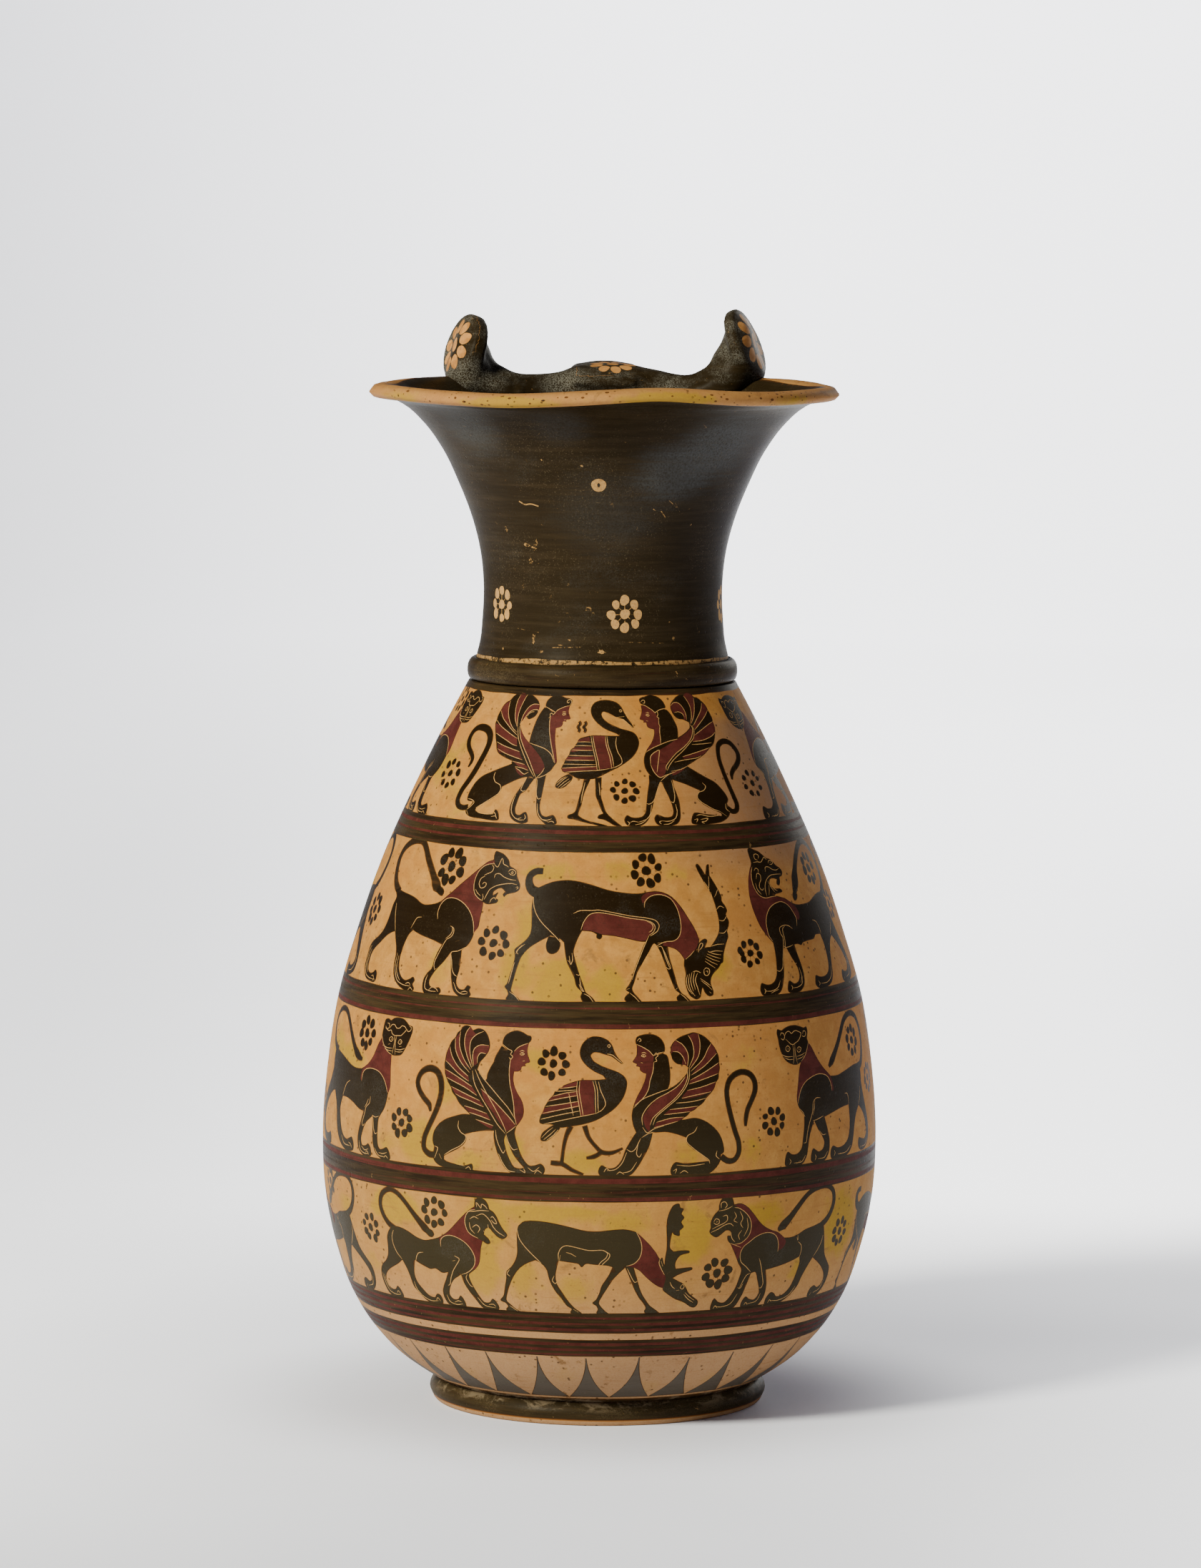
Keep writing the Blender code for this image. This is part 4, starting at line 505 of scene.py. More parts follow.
class Paint:
    """Collects what is painted on a wall, then builds the wall as one closed mesh."""

    def __init__(self, wall, RU):
        self.wall, self.RU, self.half = wall, RU, math.pi * RU
        self.shapes, self.rows, self.lines, self.points, self.stains = [], [], [], [], []

    def to_wall(self, p, R, s0):
        return np.stack([p[:, 0] / R * self.RU, p[:, 1] + s0], 1)

    def shape(self, kind, p, R, s0, level=1.0, soft=0.0):
        self.shapes.append((kind, self.to_wall(p, R, s0), level))
        if soft:
            self.points.append(self.to_wall(inset(p, soft), R, s0))

    def figure(self, name, R, s0, du=0.0, mirror=False, k=1.0, wear=0.0):
        d = FIGS[name]
        allp = np.concatenate([c for c, _ in d["fill"]])
        mid = .5 * (allp[:, 0].min() + allp[:, 0].max())

        def mv(p):
            u = (p[:, 0] - mid) * k * (-1 if mirror else 1) + mid + du
            return np.stack([u, p[:, 1] * k], 1)
        for c, lev in d["fill"]:
            self.shape("fill", inset(mv(c), -.11), R, s0, lev, .42)
        for c in d["red"]:
            self.shape("red", mv(c), R, s0)
        for c in d["inc"]:
            L = along(c)
            t = L / max(L[-1], 1e-6)
            w = .195 * np.clip(np.minimum(t * L[-1] / .9, (1 - t) * L[-1] / .9) + .4, .4, 1)
            self.shape("inc", mv(ribbon(c, w)), R, s0)

    def dot(self, u, v, rad, R, s0, level=.96, kind="fill", n=14, squash=(1, 1)):
        a = np.arange(n) / n * 2 * math.pi
        j = 1 + .07 * np.sin(2 * a + u) + .05 * np.sin(3 * a + v * 2)
        p = np.stack([u + rad * squash[0] * j * np.cos(a), v + rad * squash[1] * j * np.sin(a)], 1)
        self.shape(kind, p, R, s0, level, .3 if kind == "fill" else 0)

    def rosette(self, u, v, ring, dot, R, s0, kind="fill", count=8, turn=.2, spokes=0.0):
        rs = np.random.default_rng(int(abs(u * 31 + v * 17 + R * 7)) + 3)
        grow = 1.03 if kind == "fill" and abs(u) + ring + 2 * dot < math.pi * R else .95
        for i in range(count):
            a = turn + i * 2 * math.pi / count + rs.normal(0, .045)
            rr = ring * (1 + rs.normal(0, .03))
            ca, sa = math.cos(a), math.sin(a)
            if spokes:
                q = np.linspace(dot * .8, rr - dot * .7, 4)
                self.shape(kind, ribbon(np.stack([u + q * ca, v + q * sa], 1), np.array([.34, .24, .22, .24])), R, s0, spokes)
            self.dot(u + rr * ca, v + rr * sa, dot * grow * (1 + rs.normal(0, .06)), R, s0, kind=kind, level=.88 + .12 * rs.random(), squash=(.95, 1.05 + rs.normal(0, .04)))
        self.dot(u, v, dot * 1.05, R, s0, kind=kind)

    def stain(self, u, v, su, sv, k, R, s0):
        self.stains.append((u / R * self.RU, v + s0, su / R * self.RU, sv, k))

    def edge(self, s, amp=.12, seed=0):
        rs = np.random.default_rng(1000 + seed)
        ph = rs.random(4) * 6.28
        return lambda x: s + amp * (np.sin(2 * x / self.RU + ph[0]) * .7 + .5 * np.sin(5 * x / self.RU + ph[1]) + .35 * np.sin(11 * x / self.RU + ph[2]) + .25 * np.sin(23 * x / self.RU + ph[3]))

    def row(self, lo, hi, kind="fill", level=1.0, amp=.12, soft=.35, seed=0):
        """A band painted right round on the wheel."""
        f, g = self.edge(lo, amp, seed * 2 + 1), self.edge(hi, amp, seed * 2 + 2)
        self.rows.append((kind, f, g, level))
        self.lines += [f, g]
        if kind == "fill" and soft:
            self.lines += [lambda x, f=f: f(x) + soft, lambda x, g=g: g(x) - soft]

    def build(self, name, closing, close_level, grid=3.0, columns=288):
        W, H = self.half, self.wall.top
        verts, edges = [], []

        def add(p, closed=True, link=True):
            k = len(verts)
            verts.extend(map(tuple, p))
            if link:
                n = len(p)
                edges.extend((k + i, k + (i + 1) % n) for i in range(n if closed else n - 1))
        xs = np.linspace(-W, W, columns + 1)
        for s in (0.0, H):
            add(np.stack([xs, np.full_like(xs, s)], 1), False)
        seam = sorted(set([round(float(f(np.array([W]))[0]), 5) for f in self.lines]) | set(np.round(np.linspace(0, H, int(H / grid) + 1), 5)))
        merged = [seam[0]]
        own = set(round(float(f(np.array([W]))[0]), 5) for f in self.lines)
        for q in seam[1:]:
            if q - merged[-1] < .12 and q not in own:
                continue
            merged.append(q)
        for x in (-W, W):
            add(np.stack([np.full(len(merged), x), np.array(merged)], 1), False)
        lx = np.linspace(-W, W, 181)
        for f in self.lines:
            y = f(lx)
            y[0] = y[-1] = round(float(y[-1]), 5)
            add(np.stack([lx, y], 1), False)
        for kind, p, lev in self.shapes:
            add(p)
        extra = [p for p in self.points]
        rows = int(H / (grid * .87))
        for j in range(1, rows):
            s = H * j / rows
            x = np.arange(-W + grid * (.5 if j % 2 else 1.0), W - grid * .4, grid)
            extra.append(np.stack([x, np.full_like(x, s)], 1))
        e = np.concatenate(extra)
        e = e[(np.abs(e[:, 0]) < W - .5) & (e[:, 1] > .4) & (e[:, 1] < H - .4)]
        verts.extend(map(tuple, e))
        vo, eo, fo, _, _, _ = delaunay_2d_cdt([Vector(v) for v in verts], edges, [], 0, 1e-4)
        V = np.array([tuple(v) for v in vo])
        T = np.array([t for t in fo if len(t) == 3])
        a, b, c = V[T[:, 0]], V[T[:, 1]], V[T[:, 2]]
        area = (b[:, 0] - a[:, 0]) * (c[:, 1] - a[:, 1]) - (b[:, 1] - a[:, 1]) * (c[:, 0] - a[:, 0])
        T[area < 0] = T[area < 0][:, ::-1]
        C = (a + b + c) / 3
        nt = len(T)
        slip, red, inc = np.zeros(nt), np.zeros(nt), np.zeros(nt)
        band = np.zeros(nt)
        for kind, f, g, lev in self.rows:
            m = (C[:, 1] > f(C[:, 0])) & (C[:, 1] < g(C[:, 0]))
            if kind == "fill":
                slip[m] = np.maximum(slip[m], lev)
                band[m] = 1
            elif kind == "red":
                red[m] = lev
            elif kind == "light":
                inc[m] = lev
            else:
                slip[m] = 0
                band[m] = 0
        order = np.argsort(C[:, 0])
        cx = C[order, 0]
        for kind, p, lev in self.shapes:
            i0, i1 = np.searchsorted(cx, [p[:, 0].min(), p[:, 0].max()])
            cand = order[i0:i1]
            cand = cand[(C[cand, 1] > p[:, 1].min()) & (C[cand, 1] < p[:, 1].max())]
            hit = cand[inside(p, C[cand])]
            if kind == "fill":
                slip[hit] = np.maximum(slip[hit], lev)
            elif kind == "red":
                red[hit] = 1
            elif kind == "inc":
                inc[hit] = 1
            elif kind == "light":
                inc[hit] = lev
            elif kind == "dark":
                inc[hit] = 0
        red[slip <= 0] = 0
        inc[slip <= 0] = 0
        filled = slip > 0
        touch_f, touch_e = np.zeros(len(V), bool), np.zeros(len(V), bool)
        touch_f[T[filled].ravel()] = True
        touch_e[T[~filled].ravel()] = True
        rim = touch_f & touch_e
        corner_slip = np.where(rim[T], slip[:, None] * .5, slip[:, None])
        corner_slip[~filled] = 0
        # weld the seam at the back
        right = np.where(V[:, 0] > W - 1e-3)[0]
        left = np.where(V[:, 0] < -W + 1e-3)[0]
        back = np.arange(len(V))
        ls = left[np.argsort(V[left, 1])]
        for q in right:
            back[q] = ls[int(np.argmin(np.abs(V[ls, 1] - V[q, 1])))]
        used = np.unique(back[T])
        new = np.full(len(V), -1)
        new[used] = np.arange(len(used))
        tri = new[back[T]]
        ok = (tri[:, 0] != tri[:, 1]) & (tri[:, 1] != tri[:, 2]) & (tri[:, 0] != tri[:, 2])
        tri, T = tri[ok], T[ok]
        corner_slip, red, inc, band = corner_slip[ok], red[ok], inc[ok], band[ok]
        U = V[used]
        stain = np.zeros(len(V))
        for u, s, su, sv, k in self.stains:
            stain = np.maximum(stain, k * np.exp(-(((V[:, 0] - u) / su) ** 2 + ((V[:, 1] - s) / sv) ** 2) ** 1.25))
        P = [self.wall.at(U[:, 0] / self.RU, U[:, 1])]
        faces = [tuple(t) for t in tri]
        uv = [np.stack([V[T][:, :, 0] / (2 * W) + .5, .005 + .84 * V[T][:, :, 1] / H], -1).reshape(-1, 2)]
        nrm = [self.wall.normal(U[:, 0] / self.RU, U[:, 1])[tri.ravel()]]
        A = dict(slip=[corner_slip.ravel()], red=[np.repeat(red, 3)], inc=[np.repeat(inc, 3)], band=[np.repeat(band, 3)], stain=[stain[T].ravel()])
        # rings that close the wall, from its upper rim round to its lower rim
        ncol = columns
        key = {(round(float(x), 3), round(float(s), 3)): i for i, (x, s) in enumerate(U)}
        ring = lambda s: [key[(round(float(x), 3), round(float(s), 3))] for x in xs[:-1]]
        rings, count = [ring(H)], len(U)
        ph = xs[:-1] / self.RU
        for r, z in closing:
            if r < 1e-6:
                P.append(np.array([[0, 0, z]]))
                rings.append([count])
                count += 1
            else:
                P.append(np.stack([r * np.sin(ph), -r * np.cos(ph), np.full(ncol, z)], 1))
                rings.append(list(range(count, count + ncol)))
                count += ncol
        rings.append(ring(0.0))
        nr = len(rings) - 1
        for k in range(nr):
            p, q = rings[k], rings[k + 1]
            v0, v1 = .86 + .135 * k / nr, .86 + .135 * (k + 1) / nr
            if len(p) == 1 and len(q) == 1:
                continue
            lv = close_level(k, nr)
            quads, uvs = [], []
            for j in range(ncol):
                h = (j + 1) % ncol
                x0, x1 = j / ncol, (j + 1) / ncol
                if len(q) == 1:
                    quads.append((p[j], p[h], q[0]))
                    uvs += [(x0, v0), (x1, v0), (x0, v1)]
                elif len(p) == 1:
                    quads.append((p[0], q[h], q[j]))
                    uvs += [(x0, v0), (x1, v1), (x0, v1)]
                else:
                    quads.append((p[j], p[h], q[h], q[j]))
                    uvs += [(x0, v0), (x1, v0), (x1, v1), (x0, v1)]
            faces += quads
            uv.append(np.array(uvs))
            nrm.append(np.zeros((len(uvs), 3)))
            for n_ in A:
                A[n_].append(np.full(len(uvs), lv if n_ == "slip" else (1.0 if n_ == "band" else 0.0)))
        return make_mesh(name, np.concatenate(P) * MM, faces, np.concatenate(uv), np.concatenate(nrm), {k: np.concatenate(v) for k, v in A.items()})


def make_mesh(name, P, faces, uv=None, nrm=None, attrs=None, point_attrs=None, sharp=None):
    me = bpy.data.meshes.new(name)
    me.from_pydata([tuple(map(float, p)) for p in P], [], [tuple(map(int, f)) for f in faces])
    me.shade_smooth()
    if uv is not None:
        me.uv_layers.new(name="OFBake").data.foreach_set("uv", np.asarray(uv, np.float32).ravel())
    for k, v in (attrs or {}).items():
        me.attributes.new(k, "FLOAT", "CORNER").data.foreach_set("value", np.asarray(v, np.float32))
    for k, v in (point_attrs or {}).items():
        me.attributes.new(k, "FLOAT", "POINT").data.foreach_set("value", np.asarray(v, np.float32))
    if nrm is not None:
        me.set_sharp_from_angle(angle=math.radians(50))
        me.normals_split_custom_set([tuple(map(float, n)) for n in nrm])
    elif sharp:
        me.set_sharp_from_angle(angle=math.radians(sharp))
    me.update()
    ob = bpy.data.objects.new(name, me)
    bpy.context.scene.collection.objects.link(ob)
    return ob


def turned(name, prof, attrs, columns=288, sharp=None):
    """A closed ring turned from a closed profile of (r, z) points."""
    ph = np.arange(columns) / columns * 2 * math.pi - math.pi
    n = len(prof)
    P = np.concatenate([np.stack([r * np.sin(ph), -r * np.cos(ph), np.full(columns, z)], 1) for r, z in prof])
    faces, uv = [], []
    vals = {k: [] for k in attrs}
    for k in range(n):
        q = (k + 1) % n
        for j in range(columns):
            h = (j + 1) % columns
            faces.append((k * columns + j, k * columns + h, q * columns + h, q * columns + j))
            uv += [(j / columns, k / n), ((j + 1) / columns, k / n), ((j + 1) / columns, (k + 1) / n), (j / columns, (k + 1) / n)]
            for a in attrs:
                vals[a] += [attrs[a][k], attrs[a][k], attrs[a][q], attrs[a][q]]
    return make_mesh(name, P * MM, faces, uv, None, vals, sharp=sharp)


# ---------------------------------------------------------------- the painted body
F1, F2, F3, F4 = (50.12, 186.35), (70.13, 133.97), (81.75, 84.05), (80.90, 41.60)
zb = np.linspace(7.3, 216.4, 900)
body = Paint(Wall(r_body(zb), zb, .12), 70.0)

for fr, names in ((F1, ("sphinx_r1", "swan_1", "sphinx_l1")), (F2, ("lion_r2", "goat_2", "lion_l2")),
                  (F3, ("panther_r3", "sphinx_r3", "swan_3", "sphinx_l3", "panther_l3")), (F4, ("lion_r4", "stag_4", "lion_l4"))):
    for n in names:
        body.figure(n, *fr)
# the sides and back carry the same stock animals
for fr, n, du, k in ((F1, "panther_r3", 13.8, .97), (F1, "panther_l3", -10.5, .97), (F1, "lion_r2", -75.9, .90), (F1, "lion_l2", 54.9, .92),
                     (F2, "lion_l2", -186.6, 1.0), (F2, "panther_r3", -93.0, 1.05), (F2, "sphinx_r3", 166.9, 1.05), (F2, "goat_2", 179.4, .97),
                     (F3, "lion_l2", -218.8, .95), (F3, "goat_2", -216.6, 1.0), (F3, "lion_r2", 200.0, .94), (F3, "sphinx_r1", 229.4, 1.02), (F3, "swan_1", 236.6, 1.02),
                     (F4, "lion_l4", -166.6, 1.0), (F4, "goat_2", 112.4, .80), (F4, "stag_4", -170.4, 1.0), (F4, "lion_r4", -175.6, .95), (F4, "lion_r4", 227.85, 1.0), (F4, "panther_l3", 144.8, .83)):
    body.figure(n, *fr, du=du, k=k)
ROSETTES = (
    (F1, ((-50.1, 14.1, 3.6, 1.05), (-67, 37.2, 3.4, 1.0), (6.25, 11.3, 3.1, .95), (48.25, 11.8, 3.5, .92), (100, 12, 3.4, 1.0), (98, 34, 3.4, 1.0), (-103.5, 31, 3.3, 1.0), (-106, 11, 3.2, 1.0), (151.5, 20, 3.2, 1.0), (-151.8, 36, 3.0, .95))),
    (F2, ((-88.5, 21.8, 3.75, 1.3), (-52, 38.4, 4.4, 1.6), (-31.3, 16.7, 3.9, 1.25), (14.4, 39.2, 4.06, 1.45), (44.9, 13.4, 3.25, 1.06), (84.9, 35.9, 3.9, 1.4), (93.8, 23.9, 3.5, 1.2),
          (-146.5, 14, 3.8, 1.3), (-147, 36, 3.8, 1.3), (-172, 36, 3.9, 1.3), (104, 39, 3.7, 1.25), (155.5, 36, 3.8, 1.3), (213.5, 36, 3.6, 1.2), (-214.5, 13, 3.6, 1.2), (154, 13, 3.3, 1.1))),
    (F3, ((-84.15, 35.9, 3.7, 1.35), (-63.1, 11.9, 3.4, 1.2), (-13.6, 32.4, 3.6, 1.2), (54.1, 13.9, 3.4, 1.15), (96.9, 33.4, 3.6, 1.2), (109.3, 20.7, 3.5, 1.2), (-120.5, 12, 3.4, 1.2), (-174, 34, 3.5, 1.2), (-176, 11, 3.4, 1.15),
          (-248.5, 33, 3.5, 1.2), (178, 13, 3.4, 1.2), (177.5, 35, 3.4, 1.2), (-200, 37, 3.2, 1.1), (251, 31, 3.3, 1.1))),
    (F4, ((-105.8, 31.3, 3.4, 1.2), (-78, 21.3, 3.4, 1.2), (-49.9, 29.3, 3.6, 1.2), (36.1, 12.5, 3.7, 1.35), (86, 20, 3.4, 1.15), (148, 27, 3.3, 1.1), (-137, 26, 3.3, 1.1), (204, 22, 3.3, 1.1), (-201.5, 28, 3.2, 1.1), (250, 20, 3.1, 1.05), (176, 30.5, 3.0, 1.0), (-228, 30, 3.0, 1.0))),
)
for fr, lst in ROSETTES:
    for i, (u, v, ring, dot) in enumerate(lst):
        body.rosette(u, v, ring, dot, *fr, turn=.12 + .31 * i, spokes=(.42 if fr is F2 else .36) if i % 3 != 2 else 0)
body.dot(42.0, 13.5, .95, *F2)
# yellow stains where the clay was stained in the ground
STAINS = (
    (F1, ((-56, 17, 7, 6, .62), (-46, 9, 5, 4, .55), (-43, 2.5, 4, 2, .5), (-48, 24, 4, 4, .45), (16, 27, 3, 6, .4), (60, 20, 6, 9, .4), (-12, 7, 4, 3, .35))),
    (F2, ((-24, 9, 3.6, 6, .8), (-10, 6, 5.5, 5.5, 1.0), (-15.5, 3, 3.5, 3, .9), (-22, 22, 3, 6, .6), (-13, 38.6, 11, 1.7, .9), (5, 39.5, 5, 3, .7), (2, 6, 3.6, 5, .85), (25, 38, 5, 3.5, .55), (33, 10, 5, 5, .6), (-48, 8, 4, 5, .45), (58, 8, 6, 4, .4), (-31, 30, 3, 4, .5))),
    (F3, ((-105, 31, 6, 5, .7), (-94, 28, 9, 3.4, .85), (-56, 7, 6, 5.5, .95), (-47, 23, 4, 4, .6), (-70, 6, 4, 4, .5), (-37, 3, 6, 3, .75), (-26, 8, 4, 4, .7), (-20, 33, 4, 4, .6), (0, 33, 7, 3, .5), (-4, 4, 5, 3, .7), (25, 6, 5, 4, .6), (43, 33, 6, 6, .5), (47, 6, 5, 5, .45))),
    (F4, ((-66, 29, 8.5, 4.5, 1.0), (-33, 27, 6, 7, .9), (-36, 14, 5, 8, 1.0), (-12, 31, 15, 2.6, .95), (-22, 12, 4, 7, .75), (-8, 7, 6, 5, .6), (8, 29, 7, 4, .8), (27, 25, 6, 8, .95), (24, 6, 5, 4, .5), (50, 29, 7, 4, .75), (86, 22, 7, 9, .9), (66, 10, 5, 4, .5), (-80, 10, 6, 4, .4), (-92, 26, 6, 5, .5))),
)
for fr, lst in STAINS:
    for u, v, su, sv, k in lst:
        body.stain(u, v, su * 1.35, sv * 1.3, k, *fr)
rs = np.random.default_rng(77)
for i in range(46):
    body.stain(float(rs.uniform(105, 255)) * (1 if i % 2 else -1), float(rs.uniform(0, 170)), float(rs.uniform(3, 9)), float(rs.uniform(2, 7)), float(rs.uniform(.4, 1)), 81.0, 15.0)
for i, deg in enumerate((-38, -9, 14, 33, -62, 70)):
    body.stain(math.radians(deg) * 70, 14 + 4 * math.sin(i * 2.1), 5, 4, .75, 70.0, 0.0)
for x0 in (-7.5, -5.6):
    zig = np.array([(x0, 33.0), (x0 + .5, 32.1), (x0 - .35, 31.2), (x0 + .4, 30.3), (x0, 29.5)])
    body.shape("fill", ribbon(run(zig, step=.4), np.full(len(run(zig, step=.4)), 1.0)), *F1, level=1.0)
# wheel-painted bands with stripes of added red
for i, (lo, hi) in enumerate(((178.7, 186.8), (126.4, 134.5), (76.5, 84.4), (35.2, 42.2), (26.1, 32.8), (227.4, 240.0), (-5.0, 2.5))):
    body.row(lo, min(max(hi, .0), 1e3), "fill", 1.0, .13, .55, seed=i) if 0 < lo and hi < 239 else None
top = body.wall.top
body.rows.append(("fill", body.edge(227.3, .25, 91), lambda x: x * 0 + 1e3, .92))
body.lines += [body.edge(227.3, .25, 91), (lambda f: lambda x: f(x) + .4)(body.edge(227.3, .25, 91))]
body.rows.append(("fill", lambda x: x * 0 - 1e3, body.edge(2.3, .2, 92), .95))
body.lines += [body.edge(2.3, .2, 92)]
for i, (lo, hi, lev) in enumerate(((184.2, 185.25, 1.0), (181.75, 182.45, .8), (179.4, 179.9, .35), (132.25, 132.95, .65), (130.2, 130.8, .4), (126.7, 127.9, 1.0),
                                   (82.0, 83.5, .95), (79.2, 79.9, .45), (76.9, 77.9, .85), (40.1, 41.0, .8), (37.9, 38.9, .95), (36.0, 36.8, .8), (30.5, 31.6, .95), (28.5, 29.5, .9), (26.7, 27.3, .5))):
    body.row(lo, hi, "red", lev, .1, seed=20 + i)
# rays rising from the foot
RAYS = 28
for i in range(RAYS):
    mid = -.046 * 70 + (i - RAYS // 2) * 2 * math.pi / RAYS * 70
    mid = (mid + body.half) % (2 * body.half) - body.half
    h0 = math.pi / RAYS * 70 * .985
    rs = np.random.default_rng(300 + i)
    tip, lean = 25.7 + rs.normal(0, .35), rs.normal(0, .5)
    t = np.linspace(0, 1, 15)
    hw = h0 * (1 - t) ** 1.75 * (1 - .25 * t) + .22
    cen = mid + lean * t ** 2
    p = np.concatenate([np.stack([cen - hw, 3.3 + (tip - 3.3) * t], 1), np.stack([cen + hw, 3.3 + (tip - 3.3) * t], 1)[::-1]])
    if abs(mid) + h0 < body.half - 1:
        body.shapes.append(("fill", p, .97))
        q = inset(p, .35)
        body.points.append(q)

wall_in = lambda z: r_body(z) - 5.0
zi = np.linspace(214.5, 14.0, 40)
closing = [(39.3, 216.55), (34.9, 216.6), (34.3, 216.2)] + [(min(float(wall_in(z)), 200.0), float(z)) for z in zi] + [(44.0, 12.4), (30.0, 12.0), (0.0, 12.0), (0.0, 5.2), (30.0, 5.2), (39.0, 5.2), (39.5, 5.6), (39.6, 7.2), (44.0, 7.28)]
vessel = body.build("body_wall_painted", closing, lambda k, n: .95 if k < 2 else .0, grid=4.4)

# ---------------------------------------------------------------- neck and mouth
zn = np.linspace(216.7, 299.7, 420)
lip = np.array([(r, z) for z, r in LIP])
for _ in range(3):
    lip = np.concatenate([lip[:1]] + [np.stack([.75 * a + .25 * b, .25 * a + .75 * b]) for a, b in zip(lip[:-1], lip[1:])] + [lip[-1:]])
lip = run(lip, step=.35)
# the lip was pulled a little out of true while soft
def lip_wave(phi, s):
    k = np.clip((s - 66.0) / 34.0, 0, 1) ** 2 * np.clip((125.0 - s) / 12.0, 0, 1)
    q = (phi + math.pi) % (2 * math.pi) - math.pi
    return k * (1.05 * np.exp(-((q - .26) / .27) ** 2) - 1.0 * np.exp(-((q + .43) / .26) ** 2) - .55 * np.exp(-((q + .82) / .3) ** 2) - .5 * np.exp(-((q - .8) / .42) ** 2) + .35 * np.sin(2 * q + 1.9) * np.clip(np.abs(q) - .7, 0, 1) + .2 * np.exp(-((np.abs(q) - 1.2) / .3) ** 2) + .8 * np.clip((np.abs(q) - 1.5) / .6, 0, 1))


neck_wall = Wall(np.concatenate([r_neck(zn), lip[1:, 0]]), np.concatenate([zn, lip[1:, 1]]), 0.0, lip_wave)
neck = Paint(neck_wall, 45.0)
s_of = lambda z: float(np.interp(z, zn, neck_wall.s[:len(zn)]))
s_lip = s_of(299.7)
lip_s = lambda k: s_lip + float(along(lip)[int(np.argmin(np.hypot(lip[:, 0] - LIP[k][1], lip[:, 1] - LIP[k][0])))])
lip_flat = neck.edge(lip_s(2) + .1, .25, 4)
lip_edge = lambda x: lip_flat(x) + 1.3 * np.exp(-((x / 45.0 - .22) / .24) ** 2) - .5 * np.exp(-((x / 45.0 + .36) / .3) ** 2)
low_line, in_flat = neck.edge(s_of(223.5), .22, 3), neck.edge(lip_s(7) - .1, .35, 5)
in_edge = lambda x: in_flat(x) + 5.0 * np.exp(-((x / 45.0 - 2.0) / .42) ** 2) + 3.6 * np.exp(-((x / 45.0 + 1.72) / .32) ** 2)
up_line = neck.edge(s_of(224.6), .28, 6)
neck.rows += [("fill", lambda x: x * 0 - 1e3, lip_edge, 1.0), ("light", low_line, up_line, .62), ("fill", in_edge, lambda x: x * 0 + 1e3, 1.0)]
neck.lines += [low_line, up_line, lip_edge, in_edge, lambda x: up_line(x) + .5, lambda x: lip_edge(x) - .6]
RN = 36.5
for deg, zc, ring in ((-57, 240.3, 4.1), (10.5, 238.7, 4.05), (80, 240.0, 4.1), (154, 240.0, 4.0), (-129, 240.0, 4.0)):
    neck.rosette(math.radians(deg) * RN, zc - 216.7, ring, 1.42, RN, s_of(216.7), kind="light", turn=math.pi / 2, spokes=.62)


# worn places: scuffs, scratches and one round spall with a pinhole
def scuff(deg, z, a, b, level, seed):
    rs = np.random.default_rng(seed)
    t = (np.arange(18) + .5 * rs.random(18)) / 18 * 2 * math.pi
    rad = .35 + .8 * rs.random(18)
    k = 45.0 / float(r_neck(z))
    neck.shapes.append(("light", np.stack([math.radians(deg) * 45.0 + .84 * a * k * rad * np.cos(t), s_of(z) + .84 * b * rad * np.sin(t)], 1), .9 * level))


def scratch(pts, width, level):
    p = run(np.array([(math.radians(d) * 45.0, s_of(z)) for d, z in pts]), step=.7)
    neck.shapes.append(("light", ribbon(p, np.full(len(p), width)), level))


for i, (deg, z, a, b, lev) in enumerate((
        (-36.5, 258.2, 1.5, 1.0, .66), (-33.0, 257.6, 1.6, 1.2, .62), (-35.8, 253.6, .9, 1.5, .58), (-31.6, 259.4, .6, 1.4, .62), (-27.7, 264.3, .8, .7, .50), (-8.1, 282.3, .55, .45, .8), (-22.6, 283.9, .35, .4, .6),
        (-46.3, 250.7, .5, .7, .6), (-34.3, 231.0, .9, 2.2, .62), (-6.3, 240.0, 1.9, .8, .54), (-4.4, 238.7, .8, .5, .6), (-.3, 227.5, 1.6, .85, .78), (35.1, 231.0, .8, .9, .58), (-15.7, 230.8, .6, .45, .66), (-48.0, 262.8, .7, 1.5, .55),
        (-50, 268, .6, 1.4, .52), (-43, 263.5, .8, .8, .52), (-20.0, 229.2, 1.2, .3, .6), (-29.1, 227.2, .7, .6, .6), (-53.0, 227.3, .5, .5, .62), (33, 236, .5, .4, .5), (52, 232.6, .7, .7, .5), (-41, 246, .6, 1.5, .5),
        (140, 250, 1.6, 1.2, .62), (-150, 262, 1.4, 1.0, .62), (110, 230, 1.3, 1.0, .62), (-95, 246, 1.2, 1.6, .62), (120, 276, 1.0, 1.4, .6), (-120, 280, 1.3, .8, .58), (165, 234, .9, .9, .66))):
    scuff(deg, z, a, b, lev, 60 + i)
for pts, w, lev in ((((-36.7, 271.3), (-34, 270.4), (-31, 270.6), (-27.7, 270.0)), .42, .66), (((20.8, 269.5), (24, 268.4)), .3, .55), (((24.5, 268.9), (27.3, 266.8)), .3, .6), (((27.1, 272.1), (31.4, 269.9)), .22, .55), (((29, 272.4), (33.5, 268.6)), .2, .5),
                   (((41.5, 264.8), (40.1, 263.8)), .3, .55), (((-44, 233.5), (-30, 232.6)), .16, .5), (((8, 230.4), (30, 229.8)), .16, .5), (((-24, 228.4), (-10, 228.8)), .2, .55), (((150, 270), (160, 262)), .25, .55), (((-100, 232), (-118, 236)), .25, .55)):
    scratch(pts, w, lev)
t = np.arange(20) / 20 * 2 * math.pi
